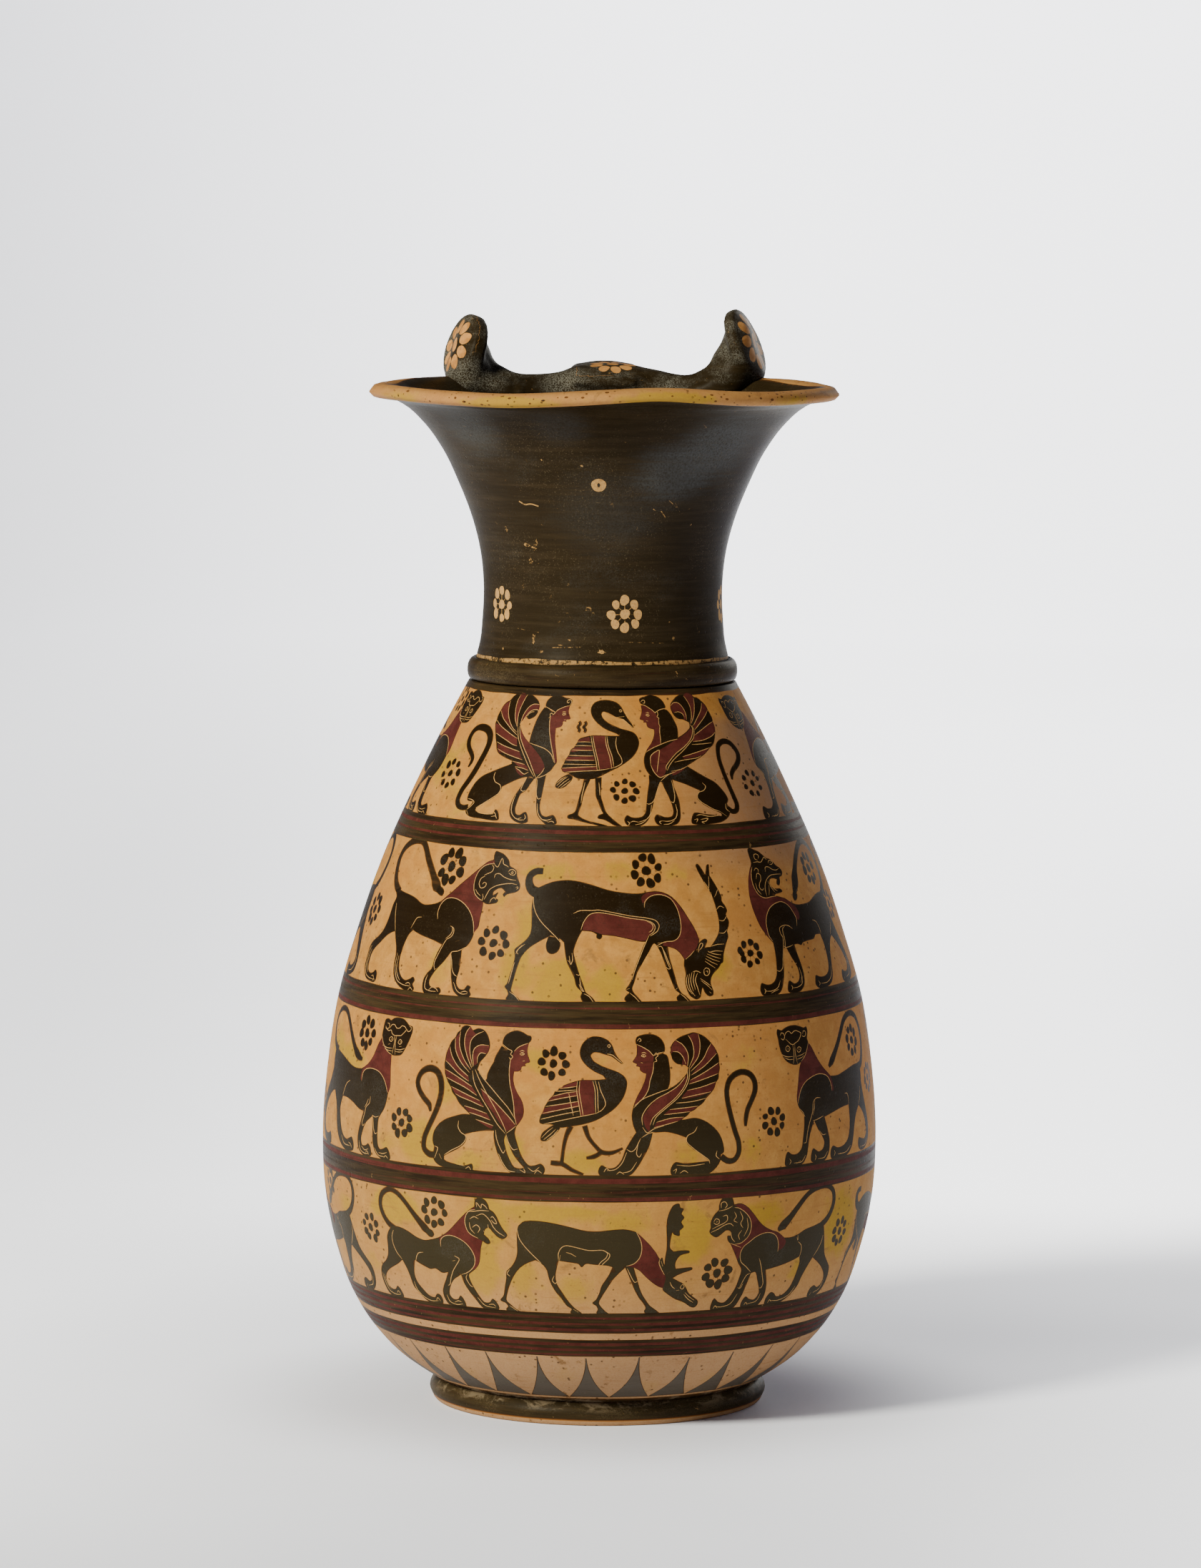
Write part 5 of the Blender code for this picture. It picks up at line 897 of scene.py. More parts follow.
for kind, ru, rv, lev in (("light", 2.2, 2.1, .76), ("dark", .42, .72, 0)):
    neck.shapes.append((kind, np.stack([math.radians(-1.9) * 45 + ru * 45 / 43.8 * np.cos(t) * (1 + .04 * np.sin(3 * t)), s_of(276.6) + rv * np.sin(t)], 1), lev))
for deg, wid, ls, k in ((-23, 15, 3.0, .95), (16, 13, 3.2, .9), (-60, 14, 3.5, .5), (52, 12, 3.6, .5), (130, 20, 4, .7), (-140, 18, 4, .7)):
    neck.stain(math.radians(deg) * 45.0, lip_s(3) + .3, math.radians(wid) * 45.0, ls, k, 45.0, 0.0)
# small pits along the lip
rs = np.random.default_rng(17)
done = []
for i in range(170):
    deg = float(np.clip(rs.choice((-38, -52, -24, 30, 62, 45, 115, -120, 150, -150)) + 12 * rs.standard_normal(), -166, 166))
    u, pit = math.radians(deg) * 45.0, .16 + .26 * rs.random() ** 2
    lo, hi = float(lip_edge(np.array([u]))[0]) + .8, float(in_edge(np.array([u]))[0]) - .8
    v = lo + (hi - lo) * rs.random()
    if all(math.hypot(u - a, v - b) > 1.1 for a, b in done):
        done.append((u, v))
        neck.shapes.append(("fill", np.stack([u + pit * (1 + rs.random()) * np.cos(t[::2]) * 45 / 69, v + pit * np.sin(t[::2])], 1), .93))
neck.points.append(np.stack([np.tile(np.linspace(-1, 1, 401)[1:-1] * neck.half, 2), np.repeat([s_lip + 2.0, s_lip + 9.0], 399)], 1))
inner = [(float(r_neck(z)) - 4.4, float(z)) for z in np.linspace(294.5, 218.0, 40)]
mouth = neck.build("neck_and_mouth_painted", [(53.0, 296.0)] + inner + [(33.4, 216.75)], lambda k, n: .97 if k < n * .8 else .8, grid=2.6)

# ---------------------------------------------------------------- collar and foot
collar = turned("collar_ring_painted", [(38.1, 216.9), (39.2, 216.9), (39.8, 217.3), (40.15, 218.1), (40.3, 219.1), (40.3, 220.2), (40.15, 221.3), (39.75, 222.3), (39.2, 223.0), (38.6, 223.35), (38.1, 223.4)],
                dict(slip=[.95, .9, .8, .95, 1, 1, 1, 1, .97, .85, .8], red=[0] * 11, inc=[0] * 11, band=[1] * 11))
foot_prof = [(43.2, 0.02), (48.5, 0.02), (49.0, .2), (49.45, .7), (49.8, 1.45), (50.12, 2.2), (50.17, 2.3), (50.4, 2.8), (50.5, 3.4), (50.35, 4.3), (49.95, 5.2), (49.4, 6.0), (48.9, 6.6), (48.3, 6.98), (41.0, 7.0), (40.3, 6.6), (41.0, 3.4), (42.4, .7)]
foot = turned("foot_ring_painted", foot_prof, dict(slip=[0, 0, 0, 0, 0, .80, .95, 1, 1, 1, 1, 1, .95, .9, .9, .3, 0, 0], red=[0] * 18, inc=[0] * 18, band=[1] * 18))


# ---------------------------------------------------------------- handle, bar and rotelles
STRAP = [(48.6, 304.7, .92, .46), (52, 306.0, .93, .5), (56.4, 306.7, .95, .56), (61, 307.1, .97, .7), (66, 307.0, 1, .85), (71, 305.9, 1, .92), (75.4, 303.2, 1, .96), (78.6, 296.4, .99, 1), (79.2, 287, .98, 1), (78.4, 274, .97, 1), (76, 259, .97, 1), (72.2, 244, .98, 1), (67.4, 230, 1.02, 1), (62, 217.8, 1.08, 1), (57, 209.4, 1.15, .98), (52.8, 204.8, 1.24, .94), (48.5, 202.4, 1.34, .9)]
ROTELLES = (((-44.3, 46.6, 314.5), (-.86, -.42, .31), 10.5, 2.3), ((44.2, 47.0, 316.2), (.868, -.31, .388), 11.2, 1.7))


def blend_min(a, b, k):
    h = np.clip(.5 + .5 * (b - a) / k, 0, 1)
    return b + (a - b) * h - k * h * (1 - h)


def handle_field(X, Y, Z):
    """Signed distance to the strap, the bar behind the lip and the two discs, luted together."""
    key = np.array(STRAP)
    cen = run(key[:, :2], step=.5)
    ks, cs = along(key[:, :2]), along(cen)
    cs = cs * ks[-1] / cs[-1]
    wid, thk = 22 * np.interp(cs, ks, key[:, 2]), 7 * np.interp(cs, ks, key[:, 3])
    tan = np.gradient(cen, axis=0)
    tan /= np.linalg.norm(tan, axis=1, keepdims=True)
    y2, z2 = Y[0].ravel(), Z[0].ravel()
    near = np.empty(len(y2), int)
    for a in range(0, len(y2), 2000):
        b = slice(a, a + 2000)
        near[b] = np.argmin((y2[b, None] - cen[None, :, 0]) ** 2 + (z2[b, None] - cen[None, :, 1]) ** 2, axis=1)
    dy, dz = y2 - cen[near, 0], z2 - cen[near, 1]
    nd = (dz * tan[near, 0] - dy * tan[near, 1]).reshape(Y[0].shape)
    ad = np.where((near == 0) | (near == len(cen) - 1), np.abs(dy * tan[near, 0] + dz * tan[near, 1]), 0).reshape(Y[0].shape)
    w, t = wid[near].reshape(Y[0].shape), thk[near].reshape(Y[0].shape)
    rr = np.minimum(2.7, t * .47)
    qx, qn = np.abs(X) - (w / 2 - rr)[None], (np.abs(nd) - t / 2 + rr)[None] + .10 * np.clip(np.abs(X) - 2, 0, 99) ** 1.2
    qa = np.broadcast_to((ad - rr)[None], qx.shape)
    strap = np.minimum(np.maximum(np.maximum(qx, qn), qa), 0) + np.sqrt(np.maximum(qx, 0) ** 2 + np.maximum(qn, 0) ** 2 + np.maximum(qa, 0) ** 2) - rr[None]
    a = np.radians(np.linspace(-30, 30, 31))
    bar = np.stack([55 * np.sin(a), 55 * np.cos(a), np.full(31, 303.3)], 1)
    tube = [(p, 2.9) for p in bar] + [(p * (.955, .955, 1) - (0, 0, 2.7), 3.0) for p in bar]
    for (c, n, R, T) in ROTELLES:
        sg = np.sign(c[0])
        c, n = np.array(c), np.array(n)
        luted = ((30.0, 304.0, 3.5), (31.8, 304.5, 3.9), (33.6, 305.1, 4.2), (35.2, 305.8, 4.4), (36.8, 306.6, 4.8), (38.4, 307.6, 5.2), (40.0, 308.8, 5.8)) if sg < 0 else ((30.0, 304.1, 3.6), (31.8, 304.6, 4.0), (33.6, 305.3, 4.4), (35.2, 306.2, 4.9), (36.8, 307.3, 5.5), (38.3, 308.7, 6.2))
        for x, y, z, rad in ((24.0, 49.6, 303.3, 2.9), (26.0, 48.9, 303.4, 3.0), (28.0, 48.3, 303.6, 3.2)) + tuple((a, 47.9, b, c) for a, b, c in luted):
            tube += [(np.array([sg * x, y, z]), rad), (np.array([sg * x, y - 2.6, z - 2.8]), rad)]
        tube.append((np.array([sg * 42.6, 47.0, 306.8 if sg < 0 else 307.0]), 5.0 if sg < 0 else 5.5))
    d = np.full(X.shape, 1e3)
    for p, rad in tube:
        d = np.minimum(d, np.sqrt((X - p[0]) ** 2 + (Y - p[1]) ** 2 + (Z - p[2]) ** 2) - rad)
    hump = (np.sqrt(((X - 4.0) / 22.0) ** 2 + ((Y - 56.5) / 8.6) ** 2 + ((Z - 302.2) / 6.3) ** 2) - 1) * 6.3
    out = blend_min(blend_min(strap, d, 4.0), hump, 3.0)
    for (c, n, R, T) in ROTELLES:
        e = c - np.array(n) * 4.0
        web = (np.sqrt(((X - e[0]) / 5.0) ** 2 + ((Y - e[1]) / (R - 1.6)) ** 2 + ((Z - e[2] + 1.0) / (R - .9)) ** 2) - 1) * 5.0
        out = blend_min(out, web, 4.0)
    for (c, n, R, T) in ROTELLES:
        n = np.array(n) / np.linalg.norm(n)
        dx, dy, dz = X - c[0], Y - c[1], Z - c[2]
        h = dx * n[0] + dy * n[1] + dz * n[2]
        rad = np.sqrt(np.maximum(dx * dx + dy * dy + dz * dz - h * h, 0))
        q1, q2 = rad - R + 1.0, np.abs(h + T - .25 * (1 - (rad / R) ** 2)) - T + 1.0
        disc = np.minimum(np.maximum(q1, q2), 0) + np.sqrt(np.maximum(q1, 0) ** 2 + np.maximum(q2, 0) ** 2) - 1.0
        out = blend_min(out, disc, 2.2)
    return out


def surface_net(f, x, y, z, relax=5):
    nx, ny, nz = f.shape
    tot, cnt = np.zeros((nx - 1, ny - 1, nz - 1, 3)), np.zeros((nx - 1, ny - 1, nz - 1))
    cs = [(i, j, k) for i in (0, 1) for j in (0, 1) for k in (0, 1)]
    sl = lambda o: f[o[0]:nx - 1 + o[0], o[1]:ny - 1 + o[1], o[2]:nz - 1 + o[2]]
    for o in cs:
        for ax in range(3):
            if o[ax] == 1:
                continue
            q = list(o)
            q[ax] = 1
            a, b = sl(o), sl(q)
            m = (a < 0) != (b < 0)
            t = np.where(m, a / np.where(m, a - b, 1), 0)
            for c in range(3):
                tot[..., c] += np.where(m, o[c] + (t if c == ax else 0), 0)
            cnt += m
    idx = np.full(cnt.shape, -1)
    on = cnt > 0
    idx[on] = np.arange(on.sum())
    I = np.argwhere(on)
    g = I + tot[on] / cnt[on][:, None]
    faces = []
    neg = f < 0
    for ax in range(3):
        b, c = (ax + 1) % 3, (ax + 2) % 3
        hi = [slice(None)] * 3
        lo = [slice(None)] * 3
        hi[ax], lo[ax] = slice(1, None), slice(None, -1)
        ch = neg[tuple(hi)] != neg[tuple(lo)]
        for e in np.argwhere(ch):
            if e[b] == 0 or e[c] == 0 or e[b] >= f.shape[b] - 1 or e[c] >= f.shape[c] - 1:
                continue
            v = []
            for ob, oc in ((-1, -1), (0, -1), (0, 0), (-1, 0)):
                q = list(e)
                q[b] += ob
                q[c] += oc
                v.append(idx[tuple(q)])
            faces.append(v if neg[tuple(e)] else v[::-1])
    F = np.array(faces)
    G = np.gradient(f)
    nb = np.concatenate([F[:, [0, 1]], F[:, [1, 2]], F[:, [2, 3]], F[:, [3, 0]]])

    def sample(a, p):
        p0 = np.clip(np.floor(p).astype(int), 0, np.array(f.shape) - 2)
        t = p - p0
        r = 0
        for o in cs:
            w = np.prod([t[:, c] if o[c] else 1 - t[:, c] for c in range(3)], axis=0)
            r = r + w * a[p0[:, 0] + o[0], p0[:, 1] + o[1], p0[:, 2] + o[2]]
        return r
    for _ in range(relax):
        s, k = np.zeros_like(g), np.zeros(len(g))
        np.add.at(s, nb[:, 0], g[nb[:, 1]])
        np.add.at(s, nb[:, 1], g[nb[:, 0]])
        np.add.at(k, nb[:, 0], 1)
        np.add.at(k, nb[:, 1], 1)
        g = g + .6 * (s / k[:, None] - g)
        for _ in range(2):
            n = np.stack([sample(a, g) for a in G], 1)
            g = g - n * (sample(f, g) / np.maximum((n * n).sum(1), 1e-9))[:, None]
    h = np.array([x[1] - x[0], y[1] - y[0], z[1] - z[0]])
    return np.array([x[0], y[0], z[0]]) + g * h, F


gx, gy, gz = np.arange(-57.5, 57.6, .9), np.arange(35.5, 85.6, .9), np.arange(197.5, 329.5, .9)
field = handle_field(*np.meshgrid(gx, gy, gz, indexing="ij"))
# no grid face keeps a checkerboard of signs, so no edge gets more than two faces
for _ in range(8):
    flips = 0
    for b, c in ((0, 1), (1, 2), (2, 0)):
        n = field.shape
        part = lambda i, j: tuple(slice(i, n[k] - 1 + i) if k == b else slice(j, n[k] - 1 + j) if k == c else slice(None) for k in range(3))
        s00, s10, s11, s01 = (field[part(*o)] < 0 for o in ((0, 0), (1, 0), (1, 1), (0, 1)))
        for e in np.argwhere((s00 == s11) & (s10 == s01) & (s00 != s10)):
            corners = [tuple(e + np.array([i if k == b else j if k == c else 0 for k in range(3)])) for i in (0, 1) for j in (0, 1)]
            q = min(corners, key=lambda w: abs(field[w]))
            field[q] = 1e-3 if field[q] < 0 else -1e-3
            flips += 1
    if not flips:
        break
HP, HF = surface_net(field, gx, gy, gz)
# each four-sided face is cut along a diagonal that no other face uses
used = {(min(a, b), max(a, b)) for q in HF.tolist() for a, b in zip(q, q[1:] + q[:1])}
cut = []
for a, b, c, d in HF.tolist():
    if (np.sum((HP[a] - HP[c]) ** 2) > np.sum((HP[b] - HP[d]) ** 2)) if (min(a, c), max(a, c)) not in used and (min(b, d), max(b, d)) not in used else (min(a, c), max(a, c)) in used:
        a, b, c, d = b, c, d, a
    used.add((min(a, c), max(a, c)))
    cut += [(a, b, c), (a, c, d)]
HF = np.array(cut)
ddx, ddy = np.full(len(HP), 60.0), np.full(len(HP), 60.0)
for (c, n, R, T) in ROTELLES:
    c, n = np.array(c), np.array(n) / np.linalg.norm(n)
    e1 = np.cross(n, (0, 0, 1))
    e1 /= np.linalg.norm(e1)
    e2 = np.cross(n, e1)
    d = HP - c
    m = (d @ n > -1.3) & (np.linalg.norm(d - np.outer(d @ n, n), axis=1) < R + 1)
    ddx[m], ddy[m] = (d @ e1)[m] * 9.8 / R, (d @ e2)[m] * 9.8 / R
m = (HP[:, 2] > 305.6) & (np.abs(HP[:, 0] - 2.5) < 11) & (HP[:, 1] < 66)
ddx[m], ddy[m] = (HP[m, 0] - 2.5) * 1.1, (HP[m, 1] - 55.0) * 1.16
handle = make_mesh("handle_with_rotelles", HP * MM, HF, point_attrs=dict(slip=np.ones(len(HP)), red=np.zeros(len(HP)), inc=np.zeros(len(HP)), band=np.ones(len(HP)), dot_x=ddx, dot_y=ddy))

# ---------------------------------------------------------------- ceramic material
class Nodes:
    def __init__(self, name):
        self.mat = bpy.data.materials.new(name)
        self.mat.use_nodes = True
        self.t = self.mat.node_tree
        self.bsdf = self.t.nodes["Principled BSDF"]

    def put(self, socket, v):
        if isinstance(v, bpy.types.NodeSocket):
            self.t.links.new(v, socket)
        elif isinstance(v, (tuple, list)) and socket.type == "RGBA":
            socket.default_value = (*v[:3], 1)
        else:
            socket.default_value = v

    def node(self, kind, out=0, props=None, **ins):
        n = self.t.nodes.new(kind)
        for k, v in (props or {}).items():
            setattr(n, k, v)
        for k, v in ins.items():
            self.put(n.inputs[int(k[1:])] if k[0] == "i" and k[1:].isdigit() else n.inputs[k.replace("_", " ")], v)
        return n.outputs[out]

    def m(self, op, a, b=0.0, c=0.0, clamp=False):
        return self.node("ShaderNodeMath", props=dict(operation=op, use_clamp=clamp), i0=a, i1=b, i2=c)

    def attr(self, name):
        return self.node("ShaderNodeAttribute", "Fac", dict(attribute_name=name))

    def scaled(self, vec, s):
        return self.node("ShaderNodeVectorMath", props=dict(operation="MULTIPLY"), i0=vec, i1=s)

    def noise(self, vec, scale, detail=4.0, rough=.55, warp=0.0):
        return self.node("ShaderNodeTexNoise", "Fac", None, Vector=vec, Scale=scale, Detail=detail, Roughness=rough, Distortion=warp)

    def step(self, v, lo, hi, a=0.0, b=1.0):
        n = self.t.nodes.new("ShaderNodeMapRange")
        n.interpolation_type = "SMOOTHSTEP"
        for i, q in enumerate((v, lo, hi, a, b)):
            self.put(n.inputs[i], q)
        return n.outputs[0]

    def mix(self, f, a, b, mode="MIX"):
        n = self.t.nodes.new("ShaderNodeMix")
        n.data_type, n.blend_type = "RGBA", mode
        self.put(n.inputs[0], f)
        self.put(n.inputs[6], a)
        self.put(n.inputs[7], b)
        return n.outputs[2]

    def ramp(self, f, stops):
        n = self.t.nodes.new("ShaderNodeValToRGB")
        e = n.color_ramp.elements
        while len(e) < len(stops):
            e.new(.5)
        for q, (p, c) in zip(e, stops):
            q.position, q.color = p, (*c, 1)
        self.put(n.inputs[0], f)
        return n.outputs[0]


def lin(r, g, b):
    return tuple((c / 255 / 12.92) if c <= 10 else ((c / 255 + .055) / 1.055) ** 2.4 for c in (r, g, b))


def ceramic(name, worn=.5, dots=False, grey=.3, banded=0.0, brushy=1.0, bloom_lo=.50, chalk=(.058, .056, .050), painted_sheens=()):
    N = Nodes(name)
    P = N.scaled(N.node("ShaderNodeTexCoord", "Object"), (1000, 1000, 1000))
    slip, red, inc, band, blot = (N.attr(k) for k in ("slip", "red", "inc", "band", "stain"))
    fine = N.noise(P, 1.7, 5, .65)
    mid = N.noise(P, .22, 6, .6, .4)
    big = N.noise(P, .034, 5, .55, .6)
    big2 = N.noise(N.scaled(P, (1, 1, .8)), .051, 4, .5, .3)
    streak = N.noise(N.scaled(P, (.05, .05, 1.1)), 1.0, 5, .62)
    # fired clay: golden tan, warmer patches, yellow-green stains, grain, wheel lines and pits
    zz = N.node("ShaderNodeSeparateXYZ", 2, None, Vector=P)
    low = N.step(zz, 60.0, 18.0)
    clay = N.mix(N.step(mid, .35, .68), (.290, .128, .026), (.375, .178, .041))
    clay = N.mix(N.step(big, .40, .66, 0, .5), clay, (.325, .128, .025))
    clay = N.mix(N.step(zz, 106.0, 66.0, 0, .38), clay, (.262, .150, .050))
    # paler, duller clay towards the foot: partly its own dusty colour, partly painted light standing in for light
    # bounced up from the floor
    clay = N.mix(N.m("MULTIPLY", low, .75), clay, (.305, .186, .103))
    clay = N.mix(N.step(zz, 297.0, 300.0, 0, .45), clay, (.275, .148, .064))
    # painted shade: the clay on the right side is painted darker and greyer, most of all in the top frieze where the
    # shoulder turns from the light
    xx = N.node("ShaderNodeSeparateXYZ", 0, None, Vector=P)
    right_side_shade = N.m("MULTIPLY", N.m("ADD", N.step(zz, 70.0, 100.0, 0, .22), N.step(zz, 160.0, 172.0, 0, .78)), N.step(zz, 210.0, 205.0))
    clay = N.mix(N.m("MULTIPLY", N.m("MULTIPLY", right_side_shade, N.step(xx, 6.0, 46.0, 0, .85)), N.step(mid, .32, .66, .75, 1)), clay, (.190, .108, .066))
    stain = N.m("ADD", blot, N.m("ADD", N.m("MULTIPLY", N.m("SUBTRACT", big2, .5), .9), N.m("MULTIPLY", N.m("SUBTRACT", mid, .5), .7)))
    clay = N.mix(N.m("MULTIPLY", N.step(stain, .26, .62, 0, .74), N.m("MULTIPLY_ADD", low, -.8, 1.0)), clay, (.255, .158, .010))
    clay = N.mix(N.step(fine, .35, .75, .0, .34), clay, (.20, .088, .026))
    clay = N.mix(N.m("MULTIPLY", N.step(streak, .56, .70), .38), clay, (.20, .085, .022))
    vor = N.node("ShaderNodeTexVoronoi", "Distance", None, Vector=P, Scale=.62)
    vcol = N.node("ShaderNodeTexVoronoi", "Color", None, Vector=P, Scale=.62)
    pick = N.step(N.node("ShaderNodeSeparateColor", 0, None, Color=vcol), .70, .72)
    pits = N.m("MULTIPLY", N.m("MULTIPLY", N.step(vor, .30, .17), pick), N.step(N.noise(P, .07, 3), .42, .56))
    clay = N.mix(N.m("MULTIPLY", pits, .85), clay, (.045, .022, .010))
    patchy = N.step(N.noise(P, .045, 4, .6, .4), .44, .62)
    speck = N.m("MULTIPLY", N.step(N.noise(P, .95, 4, .7), .64, .72), N.m("ADD", N.m("MULTIPLY_ADD", patchy, .80, .20), N.m("MULTIPLY", low, .25), clamp=True))
    clay = N.mix(speck, clay, (.060, .030, .012))
    soil = N.m("MULTIPLY", N.step(N.noise(P, .16, 8, .72, .6), .575, .70), N.m("MULTIPLY_ADD", low, .35, .62))
    clay = N.mix(soil, clay, (.13, .065, .024))
    # slip: thickness decides the colour, from orange-brown where thin to black
    thick = N.m("MULTIPLY", slip, N.step(N.m("ADD", N.m("MULTIPLY", streak, .65), N.m("MULTIPLY", mid, .5)), .32, .62, .84, 1.06), clamp=True)
    # paler, greyer slip on the rays above the foot: partly their own greyish colour, partly painted light standing in
    # for light bounced up from the floor
    paler_towards_foot = N.m("MULTIPLY", N.step(zz, 34.0, 24.0), N.step(zz, 6.6, 8.2))
    olive = N.m("MAXIMUM", N.step(zz, 120.0, 60.0), N.step(zz, 205.0, 235.0, 0, .33))
    dark = N.mix(olive, (.0090, .0046, .0014), (.024, .0178, .0085))
    dark = N.mix(paler_towards_foot, dark, (.066, .053, .040))
    brush = N.noise(N.scaled(P, (.035, .035, .62)), 1.0, 6, .66)
    hair = N.noise(N.scaled(P, (.09, .09, 3.4)), 1.0, 4, .6)
    dark = N.mix(N.step(brush, .40, .74, 0, .62 * brushy), dark, (.029, .0190, .0092))
    dark = N.mix(N.step(hair, .50, .72, 0, .30 * brushy), dark, (.0060, .0040, .0022))
    bloom = N.m("MULTIPLY", N.step(N.noise(N.scaled(P, (1, 1, 1.7)), .045, 5, .6, .3), bloom_lo, bloom_lo + .2), N.step(N.noise(P, 2.6, 3, .6), .40, .62))
    dark = N.mix(N.m("MULTIPLY", bloom, grey), dark, chalk)
    # painted highlights: soft grey patches at given places on the neck stand in for a broad sheen of reflected light
    for (hx, hy, hz), size, amount in painted_sheens:
        far = N.node("ShaderNodeVectorMath", "Value", dict(operation="DISTANCE"), i0=N.scaled(P, (1, 1, 1.25)), i1=(hx, hy, hz * 1.25))
        soft = N.m("MULTIPLY", N.step(N.m("ADD", far, N.m("MULTIPLY", N.m("SUBTRACT", brush, .5), size * .8)), size, size * .25, 0, amount), N.step(fine, .3, .62, .35, 1))
        dark = N.mix(soft, dark, (.052, .053, .052))
    grit = N.m("MULTIPLY", N.step(N.noise(P, 2.3, 4, .6), .56, .70), N.step(N.noise(P, .055, 4, .6, .4), .42, .60))
    dark = N.mix(N.m("MULTIPLY", grit, .10 + .36 * brushy), dark, (.095, .070, .038))
    # dirt left in the angle over the foot
    dust = N.m("MULTIPLY", N.m("MULTIPLY", N.step(zz, 3.6, 6.0), N.step(zz, 10.0, 7.6)), N.step(N.noise(N.scaled(P, (1, 1, 2.0)), .13, 7, .72, .5), .48, .60))
    bandc = N.mix(N.step(brush, .36, .66), (.0115, .0068, .0032), (.031, .0195, .0078))
    bandc = N.mix(N.step(hair, .50, .70, 0, .45), bandc, (.048, .024, .009))
    dark = N.mix(N.m("MULTIPLY", band, banded), dark, bandc)
    slipc = N.ramp(thick, [(0.0, (.33, .15, .04)), (.28, (.17, .064, .016)), (.52, (.065, .026, .008)), (.78, (.022, .012, .005)), (1.0, (.012, .008, .004))])
    slipc = N.mix(N.step(thick, .72, .95), slipc, dark)
    flake_n = N.noise(P, .55, 7, .68, .5)
    wear = N.m("MULTIPLY", N.step(flake_n, .655, .70), N.m("MULTIPLY_ADD", band, worn, .22 * worn))
    redc = N.mix(N.step(mid, .35, .65), (.046, .0098, .0078), (.068, .0155, .0120))
    redc = N.mix(N.step(fine, .48, .75, 0, .55), redc, (.026, .011, .007))
    lane = N.noise(N.scaled(P, (.022, .022, 1.5)), 1.0, 5, .62)
    on_band = N.step(N.m("ADD", N.m("MULTIPLY", red, .36), N.m("MULTIPLY", lane, 1.0)), .60, .80, 0, .9)
    on_fig = N.m("MULTIPLY", red, N.step(streak, .25, .50, .55, .97))
    reds = N.m("ADD", N.m("MULTIPLY", band, N.m("MULTIPLY", on_band, banded)), N.m("MULTIPLY", on_fig, N.m("SUBTRACT", 1.0, band)))
    slipc = N.mix(reds, slipc, redc)
    inc = N.m("MULTIPLY", N.step(inc, .3, .95, .45, 1), N.step(N.m("ADD", inc, N.m("MULTIPLY", N.m("SUBTRACT", N.noise(P, .9, 5, .65), .5), 1.3)), .47, .66))
    light = N.mix(N.step(fine, .35, .7), (.40, .230, .082), (.29, .150, .050))
    painted = N.mix(N.m("MULTIPLY", inc, .9), slipc, light)
    painted = N.mix(wear, painted, (.30, .165, .058))
    painted = N.mix(N.m("MULTIPLY", dust, .60), painted, (.150, .112, .070))
    if dots:
        x, y = N.attr("dot_x"), N.attr("dot_y")
        rad = N.m("SQRT", N.m("ADD", N.m("MULTIPLY", x, x), N.m("MULTIPLY", y, y)))
        ang = N.m("ARCTAN2", y, x)
        cell = N.m("SUBTRACT", N.m("FRACT", N.m("ADD", N.m("MULTIPLY", ang, 9 / (2 * math.pi)), 20.5)), .5)
        a2 = N.m("MULTIPLY", cell, 2 * math.pi / 9)
        px = N.m("SUBTRACT", N.m("MULTIPLY", rad, N.m("COSINE", a2)), 5.75)
        py = N.m("MULTIPLY", rad, N.m("SINE", a2))
        d = N.m("SQRT", N.m("ADD", N.m("MULTIPLY", N.m("MULTIPLY", px, px), .62), N.m("MULTIPLY", py, py)))
        d = N.m("ADD", N.m("MINIMUM", d, N.m("SUBTRACT", rad, .35)), N.m("MULTIPLY", N.m("SUBTRACT", mid, .5), .9))
        spot = N.m("MULTIPLY", N.step(d, 1.80, 1.60), N.step(fine, .25, .45, .55, 1))
        painted = N.mix(spot, painted, N.mix(N.step(mid, .4, .6), (.42, .20, .062), (.30, .13, .036)))
    cover = N.step(slip, .02, .06)
    col = N.mix(cover, clay, painted)
    N.put(N.bsdf.inputs["Base Color"], col)
    N.bsdf.inputs["Specular IOR Level"].default_value = .028
    gloss = N.m("MULTIPLY", cover, N.m("SUBTRACT", 1.0, N.m("MAXIMUM", inc, N.m("MULTIPLY", red, .6))))
    N.put(N.bsdf.inputs["Roughness"], N.m("ADD", N.m("MULTIPLY", gloss, -.17), N.step(fine, .3, .7, .54, .62)))
    bump = N.node("ShaderNodeBump", 0, None, Strength=.35, Distance=.00022, Height=N.m("ADD", N.m("ADD", N.m("MULTIPLY", fine, .35), N.m("MULTIPLY", streak, .5)), N.m("SUBTRACT", N.m("MULTIPLY", mid, .6), N.m("MULTIPLY", N.m("MAXIMUM", pits, N.m("MULTIPLY", inc, .5)), .9))))
    N.put(N.bsdf.inputs["Normal"], bump)
    return N.mat


def on_neck(deg, z):
    r = float(r_neck(z))
    return (r * math.sin(math.radians(deg)), -r * math.cos(math.radians(deg)), z)


MAT_BODY = ceramic("painted_clay_body", .32, banded=1.0, brushy=.22, grey=.25)
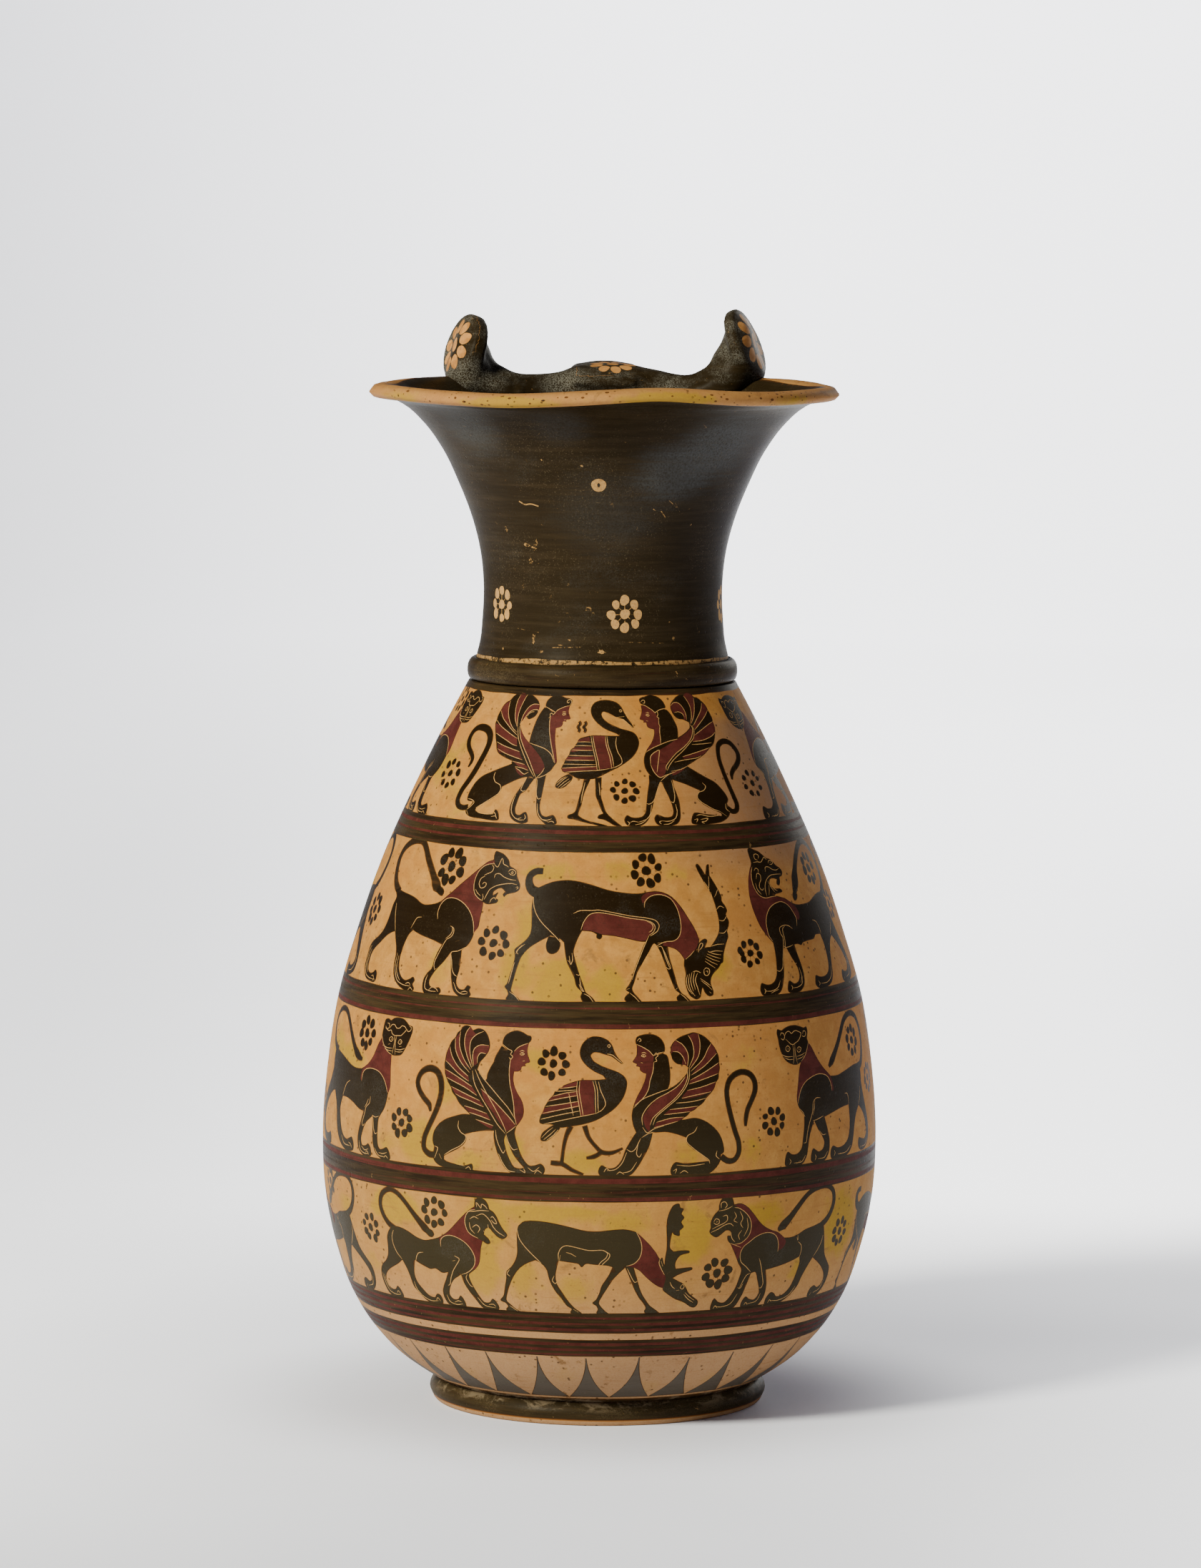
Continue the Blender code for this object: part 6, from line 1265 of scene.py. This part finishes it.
# the neck carries painted highlights at these places
MAT_NECK = ceramic("black_slip_neck", .12, grey=.16, painted_sheens=((on_neck(44, 288), 20, .8), (on_neck(27, 280), 17, .6), (on_neck(2, 268), 22, .2), (on_neck(-48, 293), 16, .6), (on_neck(-14, 294), 12, .25), (on_neck(150, 284), 18, .5), (on_neck(-130, 270), 17, .4)))
MAT_RING = ceramic("black_slip_rings", .55, banded=.6, grey=.75, bloom_lo=.43, chalk=(.100, .074, .038))
MAT_HANDLE = ceramic("black_slip_handle", .35, dots=True, grey=.80, bloom_lo=.41, chalk=(.125, .118, .100))
for ob, mat, slot, nodes in ((vessel, MAT_BODY, "painted_clay", ("body",)), (mouth, MAT_NECK, "black_slip", ("neck_and_mouth",)), (collar, MAT_RING, "black_slip", ("collar_ring",)),
                             (foot, MAT_RING, "black_slip", ("foot_ring",)), (handle, MAT_HANDLE, "black_slip", ("cross_bar", "rotelle_left", "rotelle_right", "strap_handle"))):
    ob.data.materials.append(mat)
    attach(ob, "root")
    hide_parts(*nodes)

# ---------------------------------------------------------------- floor, light and camera
# a round sweep: a flat disc whose rim curves up into a low wall all round
sweep = [(r, 0.0) for r in (.2, .5, .9, 1.4, 2.0, 2.6, 3.3)] + [(3.3 + .8 * math.sin(a), .8 - .8 * math.cos(a)) for a in np.linspace(.1, math.pi / 2, 14)] + [(4.1, 1.6), (4.1, 2.6)]
NS = 96
fv = [(r * math.cos(2 * math.pi * j / NS), r * math.sin(2 * math.pi * j / NS), z) for r, z in sweep for j in range(NS)]
ff = [tuple(range(NS))] + [(i * NS + j, (i + 1) * NS + j, (i + 1) * NS + (j + 1) % NS, i * NS + (j + 1) % NS) for i in range(len(sweep) - 1) for j in range(NS)]
floor = make_mesh("studio_floor", fv, ff)
NF = Nodes("pale_floor")
fp = NF.node("ShaderNodeTexCoord", "Object")
fx, fy, fz = (NF.node("ShaderNodeSeparateXYZ", i, None, Vector=fp) for i in range(3))
near = NF.m("MULTIPLY", NF.m("MULTIPLY", NF.m("MULTIPLY", NF.step(fx, .60, 1.0, 1, 0), NF.step(fx, -.58, -.95, 1, 0)), NF.step(fy, -.65, -.22)), NF.step(fz, .55, .8, 1, 0))
out = NF.m("SQRT", NF.m("ADD", NF.m("MULTIPLY", fx, fx), NF.m("MULTIPLY", fy, fy)))
pale = NF.mix(NF.step(NF.noise(fp, 9.0, 4), .3, .7), (.785, .80, .955), (.81, .825, .98))
NF.put(NF.bsdf.inputs["Base Color"], NF.mix(NF.step(fz, .6, .9), NF.mix(NF.m("MULTIPLY", NF.step(out, .8, 2.0), NF.m("SUBTRACT", 1.0, near)), pale, (.58, .59, .69)), (.12, .12, .13)))
NF.bsdf.inputs["Roughness"].default_value = .75
# painted light: the sweep itself glows, brightest behind the front view, and its glow lights the jug from round about
glow = NF.mix(NF.step(fy, -.34, .02), (.17, .17, .17), NF.mix(NF.step(fx, -.16, .06), (1.16, 1.16, 1.16), (1.05, 1.05, 1.05)))
glow = NF.mix(NF.m("MULTIPLY", NF.step(fx, .02, .2, 0, .4), NF.step(fy, .12, .03)), glow, (2.05, 2.05, 2.05))
wide = NF.step(fx, -.27, .10)
wide = NF.m("MULTIPLY_ADD", NF.step(fy, .3, 3.6), NF.m("SUBTRACT", NF.step(fx, -.75, .2), wide), wide)
glow = NF.mix(NF.step(fy, .20, .40), glow, NF.mix(wide, (1.15, 1.15, 1.15), NF.mix(NF.step(fy, .4, 3.0), (2.70, 2.70, 2.70), (3.12, 3.12, 3.12))))
# more painted light: a faint glow on the far floor, glowing lanes on the floor and walls to the left and front, and a
# patch of glow right of the jug that lights its right side
rest = NF.mix(NF.step(fz, .5, 1.1), NF.mix(NF.step(out, .4, 2.2), (.03, .03, .03), (.30, .30, .30)), (.0, .0, .0))
side = NF.m("MULTIPLY", NF.m("MULTIPLY", NF.step(fx, .2, .5), NF.step(fx, 1.2, 2.0, 1, 0)), NF.m("MULTIPLY", NF.step(fy, -.9, -.35), NF.step(fy, .9, 1.6, 1, 0)))
lane_w = NF.m("MULTIPLY", NF.m("MULTIPLY", NF.step(fx, -.6, -2.8), NF.step(fz, .6, .9, 1, 0)), NF.m("MULTIPLY", NF.step(fy, .6, 1.1, 1, 0), NF.step(fy, -.6, -1.1, 1, 0)))
lane_s = NF.m("MULTIPLY", NF.m("MULTIPLY", NF.step(fy, -.6, -2.8), NF.step(fz, .6, .9, 1, 0)), NF.m("MULTIPLY", NF.step(fx, .6, 1.1, 1, 0), NF.step(fx, -.6, -1.1, 1, 0)))
rest = NF.mix(NF.m("MAXIMUM", lane_w, lane_s), rest, (1.75, 1.75, 1.75))
NF.put(NF.bsdf.inputs["Emission Color"], NF.mix(side, NF.mix(near, rest, glow), (.85, .88, 1.08)))
# painted shadow: the floor's glow fades out round the foot, a soft contact shadow painted into its emission
NF.put(NF.bsdf.inputs["Emission Strength"], NF.m("ADD", NF.step(out, .057, .135, 0, .62), NF.step(out, .11, .28, 0, .38)))
floor.data.materials.append(NF.mat)


def area(name, loc, target, size, power, color=(1, 1, 1)):
    L = bpy.data.lights.new(name, "AREA")
    L.shape, L.size, L.energy, L.color = "DISK", size, power, color
    ob = bpy.data.objects.new(name, L)
    ob.location = loc
    ob.rotation_euler = (Vector(target) - Vector(loc)).to_track_quat("-Z", "Y").to_euler()
    bpy.context.scene.collection.objects.link(ob)


area("key_left", (-1.49, -1.51, 1.37), (0, 0, .16), .5, 132, (1, .975, .775))
area("fill_back", (1.2, 2.3, .95), (0, 0, .16), 1.3, 17, (1, .98, .92))
world = bpy.data.worlds.new("studio")
bpy.context.scene.world = world
world.use_nodes = True
world.node_tree.nodes["Background"].inputs[0].default_value = (.78, .92, 1.35, 1)
world.node_tree.nodes["Background"].inputs[1].default_value = .075

cam = bpy.data.cameras.new("photo_camera")
cam.sensor_fit, cam.sensor_width = "HORIZONTAL", 36.0
cam.lens = 8959.2 / 1680 * 36.0
cam.shift_x = -1.53 / 1680
cam.clip_start, cam.clip_end = .05, 50
cob = bpy.data.objects.new("photo_camera", cam)
eye, aim = Vector((0, -1.9074, .36261)), Vector((0, 0, .185232))
fwd = (aim - eye).normalized()
right = Vector((1, 0, 0))
upv = right.cross(fwd)
ca, sa = math.cos(.0070), math.sin(.0070)
xr, yu = right * ca + upv * sa, upv * ca - right * sa
cob.matrix_world = Matrix(((xr.x, yu.x, -fwd.x, eye.x), (xr.y, yu.y, -fwd.y, eye.y), (xr.z, yu.z, -fwd.z, eye.z), (0, 0, 0, 1)))
bpy.context.scene.collection.objects.link(cob)
bpy.context.scene.camera = cob

bpy.context.view_layer.update()
